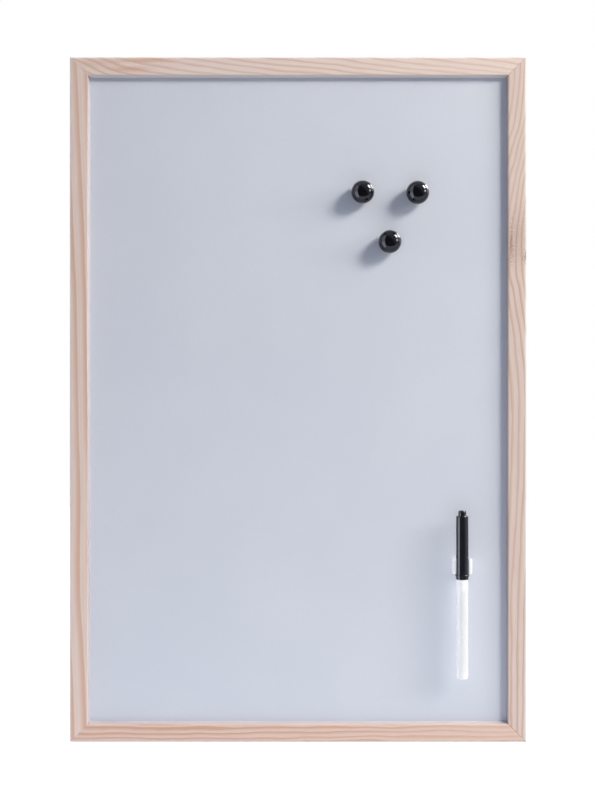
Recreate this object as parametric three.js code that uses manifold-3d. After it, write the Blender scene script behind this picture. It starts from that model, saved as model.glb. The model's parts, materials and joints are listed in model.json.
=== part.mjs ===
// Magnetic memo board: a pine frame with mitred corners round an enamelled steel sheet, with
// three ball magnets and a marker that hangs in a magnetic clip.
//
// Millimetres. X runs to the right, Y from the front towards the wall, and Z up. The origin is in
// the middle of the top rail's back, where the board meets the wall.

import * as THREE from 'three';
import { mergeVertices } from 'three/addons/utils/BufferGeometryUtils.js';
import Module from 'manifold-3d';

// Frame rails: pine, rebated behind to take the sheet and its backing
const BOARD_WIDTH = 400;
const BOARD_HEIGHT = 600;
const RAIL_FACE = 16;            // width of a rail seen from the front
const RAIL_DEPTH = 14;           // from the wall to the rail's front
const LIP_DEPTH = 6;             // thickness of the lip that the sheet lies behind
const LIP_SLOPE = 1;             // how much further inward the lip reaches at the sheet
const REBATE_WIDTH = 4.5;        // how far the rebate is cut into the rail
const OUTER_ROUND = 2;           // rounding of the front outer edge
const INNER_ROUND = 0.8;         // easing of the front inner edge
const BACK_ROUND = 0.8;          // easing of the back outer edge
const MITRE_GAP = 0.2;           // glue line between two mitred ends

// Sheet and backing, laid into the rebate
const SHEET_THICKNESS = 0.5;
const BACKING_THICKNESS = 3;
const PANEL_CLEARANCE = 0.5;     // between a panel's edge and the rebate's wall
const SHEET_CORNER = 1.5;

// V nails, two across the back of each mitre
const V_NAIL_LEG = 4;
const V_NAIL_THICKNESS = 0.6;
const V_NAIL_HEIGHT = 7;
const V_NAIL_SINK = 0.3;         // how far a nail is driven below the wood
const V_NAIL_EDGE = 0.8;         // wood left between a nail and the rail's edges
const NAIL_CLEARANCE = 0.1;

// Framer's points, driven into the rebate's wall to hold the backing
const POINT_WIDTH = 5;
const POINT_BITE = 5;            // length in the wood
const POINT_REACH = 7;           // length over the backing, from the rebate's wall
const POINT_TIP = 2.2;
const POINT_CORNER = 1;
const POINT_THICKNESS = 0.5;
const POINT_CLEARANCE = 0.1;
const LONG_RAIL_POINT_SHARES = [-0.34, 0, 0.34];
const SHORT_RAIL_POINT_SHARES = [-0.25, 0.25];

// Hangers on the backs of the side rails: a folded strap, a wire D-ring and a screw
const HANGER_DROP = 100;         // ring's bar below the board's top edge
const STRAP_WIDTH = 6;
const STRAP_THICKNESS = 0.8;
const STRAP_TAIL = 4;            // strap below the screw's centre
const ROLL_TURN_SHARE = 0.775;   // how far the strap is rolled round the bar, of a full turn
const SCREW_DROP = 5.6;          // screw's centre below the ring's bar
const RING_WIRE = 1.6;
const RING_WIDTH = 10.5;
const RING_LENGTH = 11;
const RING_CORNER = 1.4;
const RING_PLAY = 0.25;          // between the ring's wire and the strap's roll
const SCREW_HEAD_RADIUS = 2.5;
const SCREW_HEAD_HEIGHT = 1.2;
const SCREW_SHANK_RADIUS = 1.4;
const SCREW_LENGTH = 9;          // from under the head to the point
const SCREW_POINT = 2.6;
const SCREW_DRIVE_WIDTH = 0.7;   // cross recess in the head
const SCREW_DRIVE_LENGTH = 3;
const SCREW_DRIVE_DEPTH = 0.7;
const SCREW_CLEARANCE = 0.1;

// Ball magnets: a plastic ball with a flat foot and a disc magnet let into it
const BALL_RADIUS = 10;
const BALL_FOOT_RADIUS = 5.2;
const DISC_RADIUS = 4;
const DISC_THICKNESS = 3;
const DISC_RECESS = 0.2;         // magnet's face below the foot
const DISC_CHAMFER = 0.3;
const GLUE_GAP = 0.1;
const BALL_PLACE_SHARES = [      // of the opening's width and height, from its centre
  { right: 0.1535, up: 0.3188 },
  { right: 0.2837, up: 0.318 },
  { right: 0.2176, up: 0.2424 },
];

// Pen clip: a moulded block with a round channel, and a disc magnet behind
const CLIP_WIDTH = 17.4;         // at the arms
const CLIP_HEIGHT = 13.3;        // at the arms
const CLIP_FOOT_WIDTH = 14;      // on the sheet
const CLIP_FOOT_HEIGHT = 11;     // on the sheet
const CLIP_REACH = 13.2;         // arm tips in front of the sheet
const CLIP_MOUTH_RADIUS = 2.5;   // rounding of the arms' outer shoulders
const CLIP_EDGE = 0.5;           // easing of the moulded edges
const CLIP_PLAY = 0.15;          // between the cap and the channel
const CLIP_LIP_SHARE = 0.3;      // how far the arms close past the channel's widest, of its radius
const CLIP_MAGNET_RADIUS = 4.5;
const CLIP_MAGNET_THICKNESS = 3;
const CLIP_RIGHT_SHARE = 0.388;  // of the opening's width, from its centre
const CLIP_UP_SHARE = -0.2555;   // of the opening's height, from its centre

// Pen: lengths run up from the end plug's bottom
const PEN_STANDOFF = 11.5;       // pen's axis in front of the sheet
const FLANGE_GAP = 0.3;          // between the clip and the cap's flange below it
const BARREL_RADIUS = 5.2;
const BARREL_WALL = 1;
const BARREL_LENGTH = 84;
const PLUG_RIM_HEIGHT = 1;
const PLUG_RIM_RADIUS = 4.95;
const PLUG_SPIGOT_LENGTH = 5;
const PLUG_DISH = 0.4;
const PEN_FIT = 0.1;             // between a spigot and the bore that takes it
const PEN_EDGE = 0.35;           // easing of the pen's moulded edges
const RESERVOIR_RADIUS = 3.6;
const RESERVOIR_END_GAP = 0.3;   // from the plug below and from the section above
const SECTION_RIM_HEIGHT = 1.1;
const SECTION_SPIGOT_LENGTH = 8;
const SECTION_SEAT_RADIUS = 4.45;
const SECTION_SEAT_LENGTH = 11;
const SECTION_BEAD = 0.12;       // height of the bead that grips the cap
const SECTION_BEAD_LENGTH = 1;
const SECTION_CONE_LENGTH = 6;
const SECTION_NOSE_RADIUS = 3;
const SECTION_NOSE_LENGTH = 4;
const NIB_RADIUS = 2;
const NIB_OUT = 5;               // nib in front of the section's nose
const NIB_SINK = 6;              // nib sunk in the reservoir
const NIB_CLEARANCE = 0.1;

// Cap
const CAP_SEAT_GAP = 0.1;        // between the cap's mouth and the section's rim
const CAP_LENGTH = 55;           // without the nub
const CAP_TOP_RADIUS = 5.25;
const CAP_MOUTH_RADIUS = 5.5;
const CAP_WALL = 0.85;
const CAP_FLANGE_RADIUS = 5.95;
const CAP_FLANGE_HEIGHT = 1.9;
const CAP_SKIRT = 2.3;           // below the flange
const CAP_CROWN = 2;             // thickness of the closed end
const CAP_SHOULDER_ROUND = 0.6;
const NUB_RADIUS = 3.4;
const NUB_HEIGHT = 4.8;
const NUB_ROUND = 1.5;

// Working values
const OVERRUN = 1;               // how far a cutter runs past what it cuts
const WELD = 1e-4;               // vertices closer than this are one
const ROUND_STEPS = 7;
const SMALL_ROUND_STEPS = 3;
const TURNED_SEGMENTS = 28;
const BALL_STEPS = 13;

// Places that follow from the sizes above
const BACK_FACE = RAIL_FACE - REBATE_WIDTH;
const FRONT_Y = -RAIL_DEPTH;
const SHEET_FRONT_Y = FRONT_Y + LIP_DEPTH;
const SHEET_BACK_Y = SHEET_FRONT_Y + SHEET_THICKNESS;
const BACKING_BACK_Y = SHEET_BACK_Y + BACKING_THICKNESS;
const BOARD_TOP_Z = RAIL_FACE / 2;
const BOARD_BOTTOM_Z = BOARD_TOP_Z - BOARD_HEIGHT;
const BOARD_MIDDLE_Z = (BOARD_TOP_Z + BOARD_BOTTOM_Z) / 2;
const OPENING_WIDTH = BOARD_WIDTH - 2 * RAIL_FACE;
const OPENING_HEIGHT = BOARD_HEIGHT - 2 * RAIL_FACE;
const PANEL_WIDTH = BOARD_WIDTH - 2 * (BACK_FACE + PANEL_CLEARANCE);
const PANEL_HEIGHT = BOARD_HEIGHT - 2 * (BACK_FACE + PANEL_CLEARANCE);

// Materials

const FINISHES = {
  pine: { color: 0xd9c1b6, roughness: 0.6, metalness: 0 },
  enamel: { color: 0xcbcfdb, roughness: 0.15, metalness: 0 },
  hardboard: { color: 0x8a6444, roughness: 0.85, metalness: 0 },
  zinc: { color: 0xb4b6ba, roughness: 0.35, metalness: 1 },
  neodymium: { color: 0xc2c2c4, roughness: 0.25, metalness: 1 },
  blackPlastic: { color: 0x0b0b0d, roughness: 0.12, metalness: 0 },
  whitePlastic: { color: 0xf2f2f4, roughness: 0.25, metalness: 0 },
  fibre: { color: 0xdedad2, roughness: 0.95, metalness: 0 },
  inkedFelt: { color: 0x101014, roughness: 0.9, metalness: 0 },
};

function piece(name, geometry, finish) {
  const mesh = new THREE.Mesh(geometry, new THREE.MeshStandardMaterial(FINISHES[finish]));
  mesh.name = name;
  return mesh;
}

// Solids: joining and cutting closed meshes

const wasm = await Module();
wasm.setup();

function toSolid(geometry) {
  const bare = geometry.clone();
  bare.deleteAttribute('normal');
  bare.deleteAttribute('uv');
  const merged = mergeVertices(bare, WELD);
  return new wasm.Manifold(new wasm.Mesh({
    numProp: 3,
    vertProperties: new Float32Array(merged.getAttribute('position').array),
    triVerts: new Uint32Array(merged.index.array),
  }));
}

function toGeometry(solid) {
  const mesh = solid.getMesh();
  const indexed = new THREE.BufferGeometry();
  indexed.setAttribute('position', new THREE.BufferAttribute(mesh.vertProperties, mesh.numProp));
  indexed.setIndex(new THREE.BufferAttribute(mesh.triVerts, 1));
  const geometry = indexed.toNonIndexed();
  geometry.computeVertexNormals();
  return geometry;
}

function cut(geometry, cutters) {
  let solid = toSolid(geometry);
  for (const cutter of cutters) {
    solid = solid.subtract(toSolid(cutter));
  }
  return toGeometry(solid);
}

function intersect(first, second) {
  return toGeometry(toSolid(first).intersect(toSolid(second)));
}

// Forms: prisms along an axis, turned pieces and outlines

// An outline drawn in X and Z, made solid between two values of Y.
function prismAlongY(outline, fromY, toY, steps = ROUND_STEPS) {
  const settings = { depth: toY - fromY, bevelEnabled: false, curveSegments: steps };
  return new THREE.ExtrudeGeometry(outline, settings)
    .rotateX(Math.PI / 2)
    .translate(0, toY, 0);
}

// An outline drawn in Y and Z, made solid over a width centred on X = 0.
function prismAlongX(outline, width, steps = ROUND_STEPS) {
  const settings = { depth: width, bevelEnabled: false, curveSegments: steps };
  return new THREE.ExtrudeGeometry(outline, settings)
    .rotateX(Math.PI / 2)
    .rotateZ(Math.PI / 2)
    .translate(-width / 2, 0, 0);
}

function turnedAboutY(profile) {
  return new THREE.LatheGeometry(profile, TURNED_SEGMENTS);
}

function turnedAboutZ(profile) {
  return new THREE.LatheGeometry(profile, TURNED_SEGMENTS).rotateX(Math.PI / 2);
}

function at(radius, along) {
  return new THREE.Vector2(radius, along);
}

// Points of a quarter round in a turned profile, from one angle to another about a centre.
function roundPoints(centreRadius, centreAlong, round, fromAngle, toAngle, steps = SMALL_ROUND_STEPS) {
  const points = [];
  for (let i = 0; i <= steps; i += 1) {
    const angle = fromAngle + ((toAngle - fromAngle) * i) / steps;
    points.push(at(centreRadius + round * Math.cos(angle), centreAlong + round * Math.sin(angle)));
  }
  return points;
}

function rectangle(width, height, corner) {
  const x = width / 2;
  const z = height / 2;
  const outline = new THREE.Shape();
  outline.moveTo(-x + corner, -z);
  outline.lineTo(x - corner, -z);
  outline.absarc(x - corner, -z + corner, corner, -Math.PI / 2, 0);
  outline.lineTo(x, z - corner);
  outline.absarc(x - corner, z - corner, corner, 0, Math.PI / 2);
  outline.lineTo(-x + corner, z);
  outline.absarc(-x + corner, z - corner, corner, Math.PI / 2, Math.PI);
  outline.lineTo(-x, -z + corner);
  outline.absarc(-x + corner, -z + corner, corner, Math.PI, 1.5 * Math.PI);
  return outline;
}

// Frame rails. A rail is made along X with its outer edge at Z = 0 and its inner edge below.

// Section of a rail: inward from the outer edge, and from the front towards the wall.
function railSection() {
  const section = new THREE.Shape();
  section.moveTo(0, FRONT_Y + OUTER_ROUND);
  section.absarc(OUTER_ROUND, FRONT_Y + OUTER_ROUND, OUTER_ROUND, Math.PI, 1.5 * Math.PI);
  section.lineTo(RAIL_FACE - INNER_ROUND, FRONT_Y);
  section.absarc(RAIL_FACE - INNER_ROUND, FRONT_Y + INNER_ROUND, INNER_ROUND, 1.5 * Math.PI, 2 * Math.PI);
  section.lineTo(RAIL_FACE + LIP_SLOPE, SHEET_FRONT_Y);
  section.lineTo(BACK_FACE, SHEET_FRONT_Y);
  section.lineTo(BACK_FACE, 0);
  section.lineTo(BACK_ROUND, 0);
  section.lineTo(0, -BACK_ROUND);
  return section;
}

// The section run along the rail, with each end sheared to a mitre: a point that lies some way
// inward stops the same way short of the corner.
function mitredRail(length) {
  const settings = { depth: length, bevelEnabled: false, curveSegments: ROUND_STEPS };
  const geometry = new THREE.ExtrudeGeometry(railSection(), settings);
  const position = geometry.getAttribute('position');
  const trim = MITRE_GAP * Math.SQRT1_2;
  for (let i = 0; i < position.count; i += 1) {
    const inward = position.getX(i);
    const end = length / 2 - inward - trim;
    const isStart = position.getZ(i) < length / 2;
    position.setXYZ(i, isStart ? -end : end, position.getY(i), -inward);
  }
  return geometry;
}

// V nails. The two legs run from a point on the mitre towards the two outer edges.

const V_NAIL_INWARD = [
  V_NAIL_EDGE + V_NAIL_LEG,
  BACK_FACE - V_NAIL_EDGE - V_NAIL_THICKNESS / 2,
];

function vNailOutline(grow) {
  const half = V_NAIL_THICKNESS / 2 + grow;
  const tip = V_NAIL_LEG + grow;
  const outline = new THREE.Shape();
  outline.moveTo(-half, -half);
  outline.lineTo(tip, -half);
  outline.lineTo(tip, half);
  outline.lineTo(half, half);
  outline.lineTo(half, tip);
  outline.lineTo(-half, tip);
  return outline;
}

function vNail() {
  return prismAlongY(vNailOutline(0), -V_NAIL_SINK - V_NAIL_HEIGHT, -V_NAIL_SINK);
}

// The slots that both nails of one corner need in a rail that ends there.
function vNailSlots(length, side) {
  return V_NAIL_INWARD.map((inward) => {
    const bottom = -V_NAIL_SINK - V_NAIL_HEIGHT - NAIL_CLEARANCE;
    const slot = prismAlongY(vNailOutline(NAIL_CLEARANCE), bottom, OVERRUN);
    const turn = side > 0 ? 0 : -Math.PI / 2;
    return slot.rotateY(turn).translate(side * (length / 2 - inward), 0, -inward);
  });
}

function vNailPair(corner) {
  const group = new THREE.Group();
  group.position.set(corner.right * BOARD_WIDTH / 2, 0, BOARD_MIDDLE_Z + corner.up * BOARD_HEIGHT / 2);
  group.rotation.y = corner.turn;
  V_NAIL_INWARD.forEach((inward, i) => {
    const nail = piece(`v_nail_${corner.name}_${i + 1}`, vNail(), 'zinc');
    nail.position.set(-inward, 0, -inward);
    group.add(nail);
  });
  return group;
}

// Framer's points, in the frame of the rail that they are driven into.

function pointOutline() {
  const x = POINT_WIDTH / 2;
  const inWood = -BACK_FACE + POINT_BITE;
  const free = -BACK_FACE - POINT_REACH;
  const outline = new THREE.Shape();
  outline.moveTo(0, inWood);
  outline.lineTo(-x, inWood - POINT_TIP);
  outline.lineTo(-x, free + POINT_CORNER);
  outline.absarc(-x + POINT_CORNER, free + POINT_CORNER, POINT_CORNER, Math.PI, 1.5 * Math.PI);
  outline.lineTo(x - POINT_CORNER, free);
  outline.absarc(x - POINT_CORNER, free + POINT_CORNER, POINT_CORNER, -Math.PI / 2, 0);
  outline.lineTo(x, inWood - POINT_TIP);
  return outline;
}

function framersPoint() {
  return prismAlongY(pointOutline(), BACKING_BACK_Y, BACKING_BACK_Y + POINT_THICKNESS, SMALL_ROUND_STEPS);
}

function pointSlot(x) {
  const depth = POINT_BITE + POINT_CLEARANCE + OVERRUN;
  const outline = rectangle(POINT_WIDTH + 2 * POINT_CLEARANCE, depth, 0);
  const front = BACKING_BACK_Y - POINT_CLEARANCE;
  const back = BACKING_BACK_Y + POINT_THICKNESS + POINT_CLEARANCE;
  return prismAlongY(outline, front, back).translate(x, 0, -BACK_FACE - OVERRUN + depth / 2);
}

// Hole for a hanger's screw, half way across the rail's back face.
function screwHole(x) {
  const radius = SCREW_SHANK_RADIUS + SCREW_CLEARANCE;
  const bottom = -SCREW_LENGTH - SCREW_CLEARANCE;
  return turnedAboutY([at(0, bottom), at(radius, bottom), at(radius, OVERRUN), at(0, OVERRUN)])
    .translate(x, 0, -BACK_FACE / 2);
}

function railWithPoints(side) {
  const slots = [...vNailSlots(side.length, 1), ...vNailSlots(side.length, -1)];
  const pointPlaces = side.pointShares.map((share) => share * side.length);
  slots.push(...pointPlaces.map(pointSlot));
  slots.push(...side.screwPlaces.map(screwHole));

  const group = new THREE.Group();
  group.position.set(side.right * BOARD_WIDTH / 2, 0, BOARD_MIDDLE_Z + side.up * BOARD_HEIGHT / 2);
  group.rotation.y = side.turn;
  group.add(piece(`frame_${side.name}`, cut(mitredRail(side.length), slots), 'pine'));
  pointPlaces.forEach((place, i) => {
    const point = piece(`framers_point_${side.name}_${i + 1}`, framersPoint(), 'zinc');
    point.position.x = place;
    group.add(point);
  });
  return group;
}

const SCREW_FROM_MIDDLE = BOARD_HEIGHT / 2 - HANGER_DROP - SCREW_DROP;

const SIDES = [
  {
    name: 'top', right: 0, up: 1, turn: 0, length: BOARD_WIDTH,
    pointShares: SHORT_RAIL_POINT_SHARES, screwPlaces: [],
  },
  {
    name: 'bottom', right: 0, up: -1, turn: Math.PI, length: BOARD_WIDTH,
    pointShares: SHORT_RAIL_POINT_SHARES, screwPlaces: [],
  },
  {
    name: 'left', right: -1, up: 0, turn: -Math.PI / 2, length: BOARD_HEIGHT,
    pointShares: LONG_RAIL_POINT_SHARES, screwPlaces: [SCREW_FROM_MIDDLE],
  },
  {
    name: 'right', right: 1, up: 0, turn: Math.PI / 2, length: BOARD_HEIGHT,
    pointShares: LONG_RAIL_POINT_SHARES, screwPlaces: [-SCREW_FROM_MIDDLE],
  },
];

const CORNERS = [
  { name: 'top_right', right: 1, up: 1, turn: 0 },
  { name: 'bottom_right', right: 1, up: -1, turn: Math.PI / 2 },
  { name: 'bottom_left', right: -1, up: -1, turn: Math.PI },
  { name: 'top_left', right: -1, up: 1, turn: -Math.PI / 2 },
];

// Sheet and backing

function panel(name, fromY, toY, corner, finish) {
  const outline = rectangle(PANEL_WIDTH, PANEL_HEIGHT, corner);
  const mesh = piece(name, prismAlongY(outline, fromY, toY, SMALL_ROUND_STEPS), finish);
  mesh.position.z = BOARD_MIDDLE_Z;
  return mesh;
}

// Hangers. The frame of a hanger has the wood at Y = 0 and the ring's bar at Z = 0.

const ROLL_RADIUS = RING_WIRE / 2 + RING_PLAY + STRAP_THICKNESS / 2;
const BAR_Y = ROLL_RADIUS + STRAP_THICKNESS / 2;
const ROLL_TURN = 2 * Math.PI * ROLL_TURN_SHARE;
const STRAP_LOW = -SCREW_DROP - STRAP_TAIL;

// Side view of the strap: flat on the wood, then rolled round the ring's bar.
function strapSideView() {
  const outer = ROLL_RADIUS + STRAP_THICKNESS / 2;
  const inner = ROLL_RADIUS - STRAP_THICKNESS / 2;
  const outline = new THREE.Shape();
  outline.moveTo(0, STRAP_LOW);
  outline.lineTo(0, 0);
  outline.absarc(BAR_Y, 0, outer, Math.PI, Math.PI - ROLL_TURN, true);
  outline.absarc(BAR_Y, 0, inner, Math.PI - ROLL_TURN, Math.PI, false);
  outline.lineTo(STRAP_THICKNESS, STRAP_LOW);
  return outline;
}

// Front view of the strap: straight sides and a round lower end, with the screw's hole.
function strapFrontView() {
  const x = STRAP_WIDTH / 2;
  const outline = new THREE.Shape();
  outline.moveTo(-x, STRAP_LOW + x);
  outline.absarc(0, STRAP_LOW + x, x, Math.PI, 2 * Math.PI);
  outline.lineTo(x, BAR_Y + OVERRUN);
  outline.lineTo(-x, BAR_Y + OVERRUN);
  const hole = new THREE.Path();
  hole.absarc(0, -SCREW_DROP, SCREW_SHANK_RADIUS + SCREW_CLEARANCE, 0, 2 * Math.PI);
  outline.holes.push(hole);
  return outline;
}

function hangerStrap() {
  const rolled = prismAlongX(strapSideView(), STRAP_WIDTH + 2 * OVERRUN);
  const front = prismAlongY(strapFrontView(), -OVERRUN, 2 * BAR_Y + OVERRUN);
  return intersect(rolled, front);
}

// Centre line of the D-ring: a bar, two rounded corners, two sides and a round end.
function ringLoop() {
  const x = (RING_WIDTH - RING_WIRE) / 2;
  const low = -(RING_LENGTH - RING_WIRE);
  const path = new THREE.Path();
  path.moveTo(-x + RING_CORNER, 0);
  path.lineTo(x - RING_CORNER, 0);
  path.absarc(x - RING_CORNER, -RING_CORNER, RING_CORNER, Math.PI / 2, 0, true);
  path.lineTo(x, low + x);
  path.absarc(0, low + x, x, 0, -Math.PI, true);
  path.lineTo(-x, -RING_CORNER);
  path.absarc(-x + RING_CORNER, -RING_CORNER, RING_CORNER, Math.PI, Math.PI / 2, true);
  const points = path.getPoints(ROUND_STEPS).map((point) => new THREE.Vector3(point.x, 0, point.y));
  points.pop();
  return new THREE.CatmullRomCurve3(points, true);
}

const RING_STEPS = 36;
const RING_SIDES = 8;

function hangerRing() {
  const ring = new THREE.TubeGeometry(ringLoop(), RING_STEPS, RING_WIRE / 2, RING_SIDES, true);
  return ring.translate(0, BAR_Y, 0);
}

// The screw runs along Y, with its head against the strap and its point in the wood.
function hangerScrew() {
  const underHead = STRAP_THICKNESS;
  const point = underHead - SCREW_LENGTH;
  const top = underHead + SCREW_HEAD_HEIGHT;
  const dome = SCREW_HEAD_HEIGHT / 2;
  const screw = turnedAboutY([
    at(0, point),
    at(SCREW_SHANK_RADIUS, point + SCREW_POINT),
    at(SCREW_SHANK_RADIUS, underHead),
    at(SCREW_HEAD_RADIUS, underHead),
    ...roundPoints(SCREW_HEAD_RADIUS - dome, top - dome, dome, 0, Math.PI / 2),
    at(0, top),
  ]);
  const slots = [[SCREW_DRIVE_LENGTH, SCREW_DRIVE_WIDTH], [SCREW_DRIVE_WIDTH, SCREW_DRIVE_LENGTH]];
  const drive = slots.map(([width, height]) => (
    prismAlongY(rectangle(width, height, 0), top - SCREW_DRIVE_DEPTH, top + OVERRUN)
  ));
  return cut(screw, drive);
}

function hanger(name, side) {
  const group = new THREE.Group();
  group.position.set(side * (BOARD_WIDTH - BACK_FACE) / 2, 0, BOARD_TOP_Z - HANGER_DROP);
  group.add(piece(`hanger_strap_${name}`, hangerStrap(), 'zinc'));
  group.add(piece(`hanger_ring_${name}`, hangerRing(), 'zinc'));
  const screw = piece(`hanger_screw_${name}`, hangerScrew(), 'zinc');
  screw.position.z = -SCREW_DROP;
  group.add(screw);
  return group;
}

// Magnets

// A disc that runs along Y, from its front face at Y = 0 to its back.
function discMagnet(radius, thickness) {
  return turnedAboutY([
    at(0, 0),
    at(radius - DISC_CHAMFER, 0),
    at(radius, DISC_CHAMFER),
    at(radius, thickness - DISC_CHAMFER),
    at(radius - DISC_CHAMFER, thickness),
    at(0, thickness),
  ]);
}

// A ball with its foot at Y = 0 and a pocket for the magnet in the foot.
function magnetBall() {
  const centre = -Math.sqrt(BALL_RADIUS ** 2 - BALL_FOOT_RADIUS ** 2);
  const footAngle = Math.acos(BALL_FOOT_RADIUS / BALL_RADIUS);
  const pocket = DISC_RADIUS + GLUE_GAP;
  const pocketEnd = -DISC_RECESS - DISC_THICKNESS - GLUE_GAP;
  return turnedAboutY([
    at(0, centre - BALL_RADIUS),
    ...roundPoints(0, centre, BALL_RADIUS, -Math.PI / 2, footAngle, BALL_STEPS).slice(1),
    at(pocket, 0),
    at(pocket, pocketEnd),
    at(0, pocketEnd),
  ]);
}

function ballMagnet(place, i) {
  const group = new THREE.Group();
  group.position.set(place.right * OPENING_WIDTH, SHEET_FRONT_Y, BOARD_MIDDLE_Z + place.up * OPENING_HEIGHT);
  group.add(piece(`magnet_ball_${i + 1}`, magnetBall(), 'blackPlastic'));
  const disc = piece(`magnet_disc_${i + 1}`, discMagnet(DISC_RADIUS, DISC_THICKNESS), 'neodymium');
  disc.position.y = -DISC_RECESS - DISC_THICKNESS;
  group.add(disc);
  return group;
}

// Pen clip. Its frame has the sheet at Y = 0 and the pen's axis at X = 0, with Z = 0 half way up.

const CHANNEL_RADIUS = CAP_MOUTH_RADIUS + CLIP_PLAY;

// Section of the clip from above. The channel closes a little past its widest, so that the arms
// hold the cap.
function clipSection() {
  const x = CLIP_WIDTH / 2;
  const foot = CLIP_FOOT_WIDTH / 2;
  const round = CLIP_MOUTH_RADIUS;
  const roundY = round - CLIP_REACH;
  const lipAngle = Math.asin(CLIP_LIP_SHARE);
  const lipX = CHANNEL_RADIUS * Math.cos(lipAngle);
  const tipX = Math.max(lipX, x - round);
  const section = new THREE.Shape();
  section.moveTo(-foot + CLIP_EDGE, 0);
  section.lineTo(foot - CLIP_EDGE, 0);
  section.lineTo(foot, -CLIP_EDGE);
  section.lineTo(x, roundY);
  section.absarc(x - round, roundY, round, 0, -Math.PI / 2, true);
  section.lineTo(tipX, -CLIP_REACH);
  section.absarc(0, -PEN_STANDOFF, CHANNEL_RADIUS, -lipAngle, Math.PI + lipAngle, false);
  section.lineTo(-tipX, -CLIP_REACH);
  section.absarc(-x + round, roundY, round, -Math.PI / 2, -Math.PI, true);
  section.lineTo(-foot, -CLIP_EDGE);
  return section;
}

// Side view of the clip, in Y and Z: it grows taller from its foot to the arms.
function clipSideView() {
  const rise = (CLIP_HEIGHT - CLIP_FOOT_HEIGHT) / (2 * CLIP_REACH);
  const back = CLIP_FOOT_HEIGHT / 2 - rise * OVERRUN;
  const front = CLIP_HEIGHT / 2 + rise * OVERRUN;
  const view = new THREE.Shape();
  view.moveTo(OVERRUN, -back);
  view.lineTo(OVERRUN, back);
  view.lineTo(-CLIP_REACH - OVERRUN, front);
  view.lineTo(-CLIP_REACH - OVERRUN, -front);
  return view;
}

function clipBody() {
  const settings = { depth: CLIP_HEIGHT, bevelEnabled: false, curveSegments: TURNED_SEGMENTS / 2 };
  const block = new THREE.ExtrudeGeometry(clipSection(), settings).translate(0, 0, -CLIP_HEIGHT / 2);
  const body = intersect(block, prismAlongX(clipSideView(), CLIP_WIDTH + 2 * OVERRUN));
  const radius = CLIP_MAGNET_RADIUS + GLUE_GAP;
  const end = -DISC_RECESS - CLIP_MAGNET_THICKNESS - GLUE_GAP;
  const pocket = turnedAboutY([at(0, end), at(radius, end), at(radius, OVERRUN), at(0, OVERRUN)]);
  return cut(body, [pocket]);
}

const CLIP_X = CLIP_RIGHT_SHARE * OPENING_WIDTH;
const CLIP_Z = BOARD_MIDDLE_Z + CLIP_UP_SHARE * OPENING_HEIGHT;

function penClip() {
  const group = new THREE.Group();
  group.position.set(CLIP_X, SHEET_FRONT_Y, CLIP_Z);
  group.add(piece('pen_clip_body', clipBody(), 'whitePlastic'));
  const magnet = piece('pen_clip_magnet', discMagnet(CLIP_MAGNET_RADIUS, CLIP_MAGNET_THICKNESS), 'neodymium');
  magnet.position.y = -DISC_RECESS - CLIP_MAGNET_THICKNESS;
  group.add(magnet);
  return group;
}

// Pen. Its frame has the pen's axis on Z and the end plug's bottom at Z = 0.

const BORE_RADIUS = BARREL_RADIUS - BARREL_WALL;
const SPIGOT_RADIUS = BORE_RADIUS - PEN_FIT;
const BARREL_TOP = PLUG_RIM_HEIGHT + BARREL_LENGTH;
const RESERVOIR_LOW = PLUG_RIM_HEIGHT + PLUG_SPIGOT_LENGTH + RESERVOIR_END_GAP;
const RESERVOIR_TOP = BARREL_TOP - SECTION_SPIGOT_LENGTH - RESERVOIR_END_GAP;
const SEAT_LOW = BARREL_TOP + SECTION_RIM_HEIGHT;
const SEAT_TOP = SEAT_LOW + SECTION_SEAT_LENGTH;
const NOSE_LOW = SEAT_TOP + SECTION_CONE_LENGTH;
const NOSE_TOP = NOSE_LOW + SECTION_NOSE_LENGTH;

function penBarrel() {
  return turnedAboutZ([
    at(BORE_RADIUS, PLUG_RIM_HEIGHT),
    ...roundPoints(BARREL_RADIUS - PEN_EDGE, PLUG_RIM_HEIGHT + PEN_EDGE, PEN_EDGE, -Math.PI / 2, 0),
    at(BARREL_RADIUS, BARREL_TOP),
    at(BORE_RADIUS, BARREL_TOP),
    at(BORE_RADIUS, PLUG_RIM_HEIGHT),
  ]);
}

function penEndPlug() {
  const spigotTop = PLUG_RIM_HEIGHT + PLUG_SPIGOT_LENGTH;
  return turnedAboutZ([
    at(0, PLUG_DISH),
    at(SPIGOT_RADIUS - PLUG_DISH, 0),
    ...roundPoints(PLUG_RIM_RADIUS - PEN_EDGE, PEN_EDGE, PEN_EDGE, -Math.PI / 2, 0),
    at(PLUG_RIM_RADIUS, PLUG_RIM_HEIGHT),
    at(SPIGOT_RADIUS, PLUG_RIM_HEIGHT),
    at(SPIGOT_RADIUS, spigotTop - PEN_EDGE),
    at(SPIGOT_RADIUS - PEN_EDGE, spigotTop),
    at(0, spigotTop),
  ]);
}

// A fibre rod that holds the ink, with a hole in its top for the nib.
function penReservoir() {
  const hole = NIB_RADIUS + NIB_CLEARANCE;
  const holeEnd = RESERVOIR_TOP - NIB_SINK - NIB_CLEARANCE;
  return turnedAboutZ([
    at(0, RESERVOIR_LOW),
    at(RESERVOIR_RADIUS, RESERVOIR_LOW),
    at(RESERVOIR_RADIUS, RESERVOIR_TOP),
    at(hole, RESERVOIR_TOP),
    at(hole, holeEnd),
    at(0, holeEnd),
  ]);
}

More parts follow.
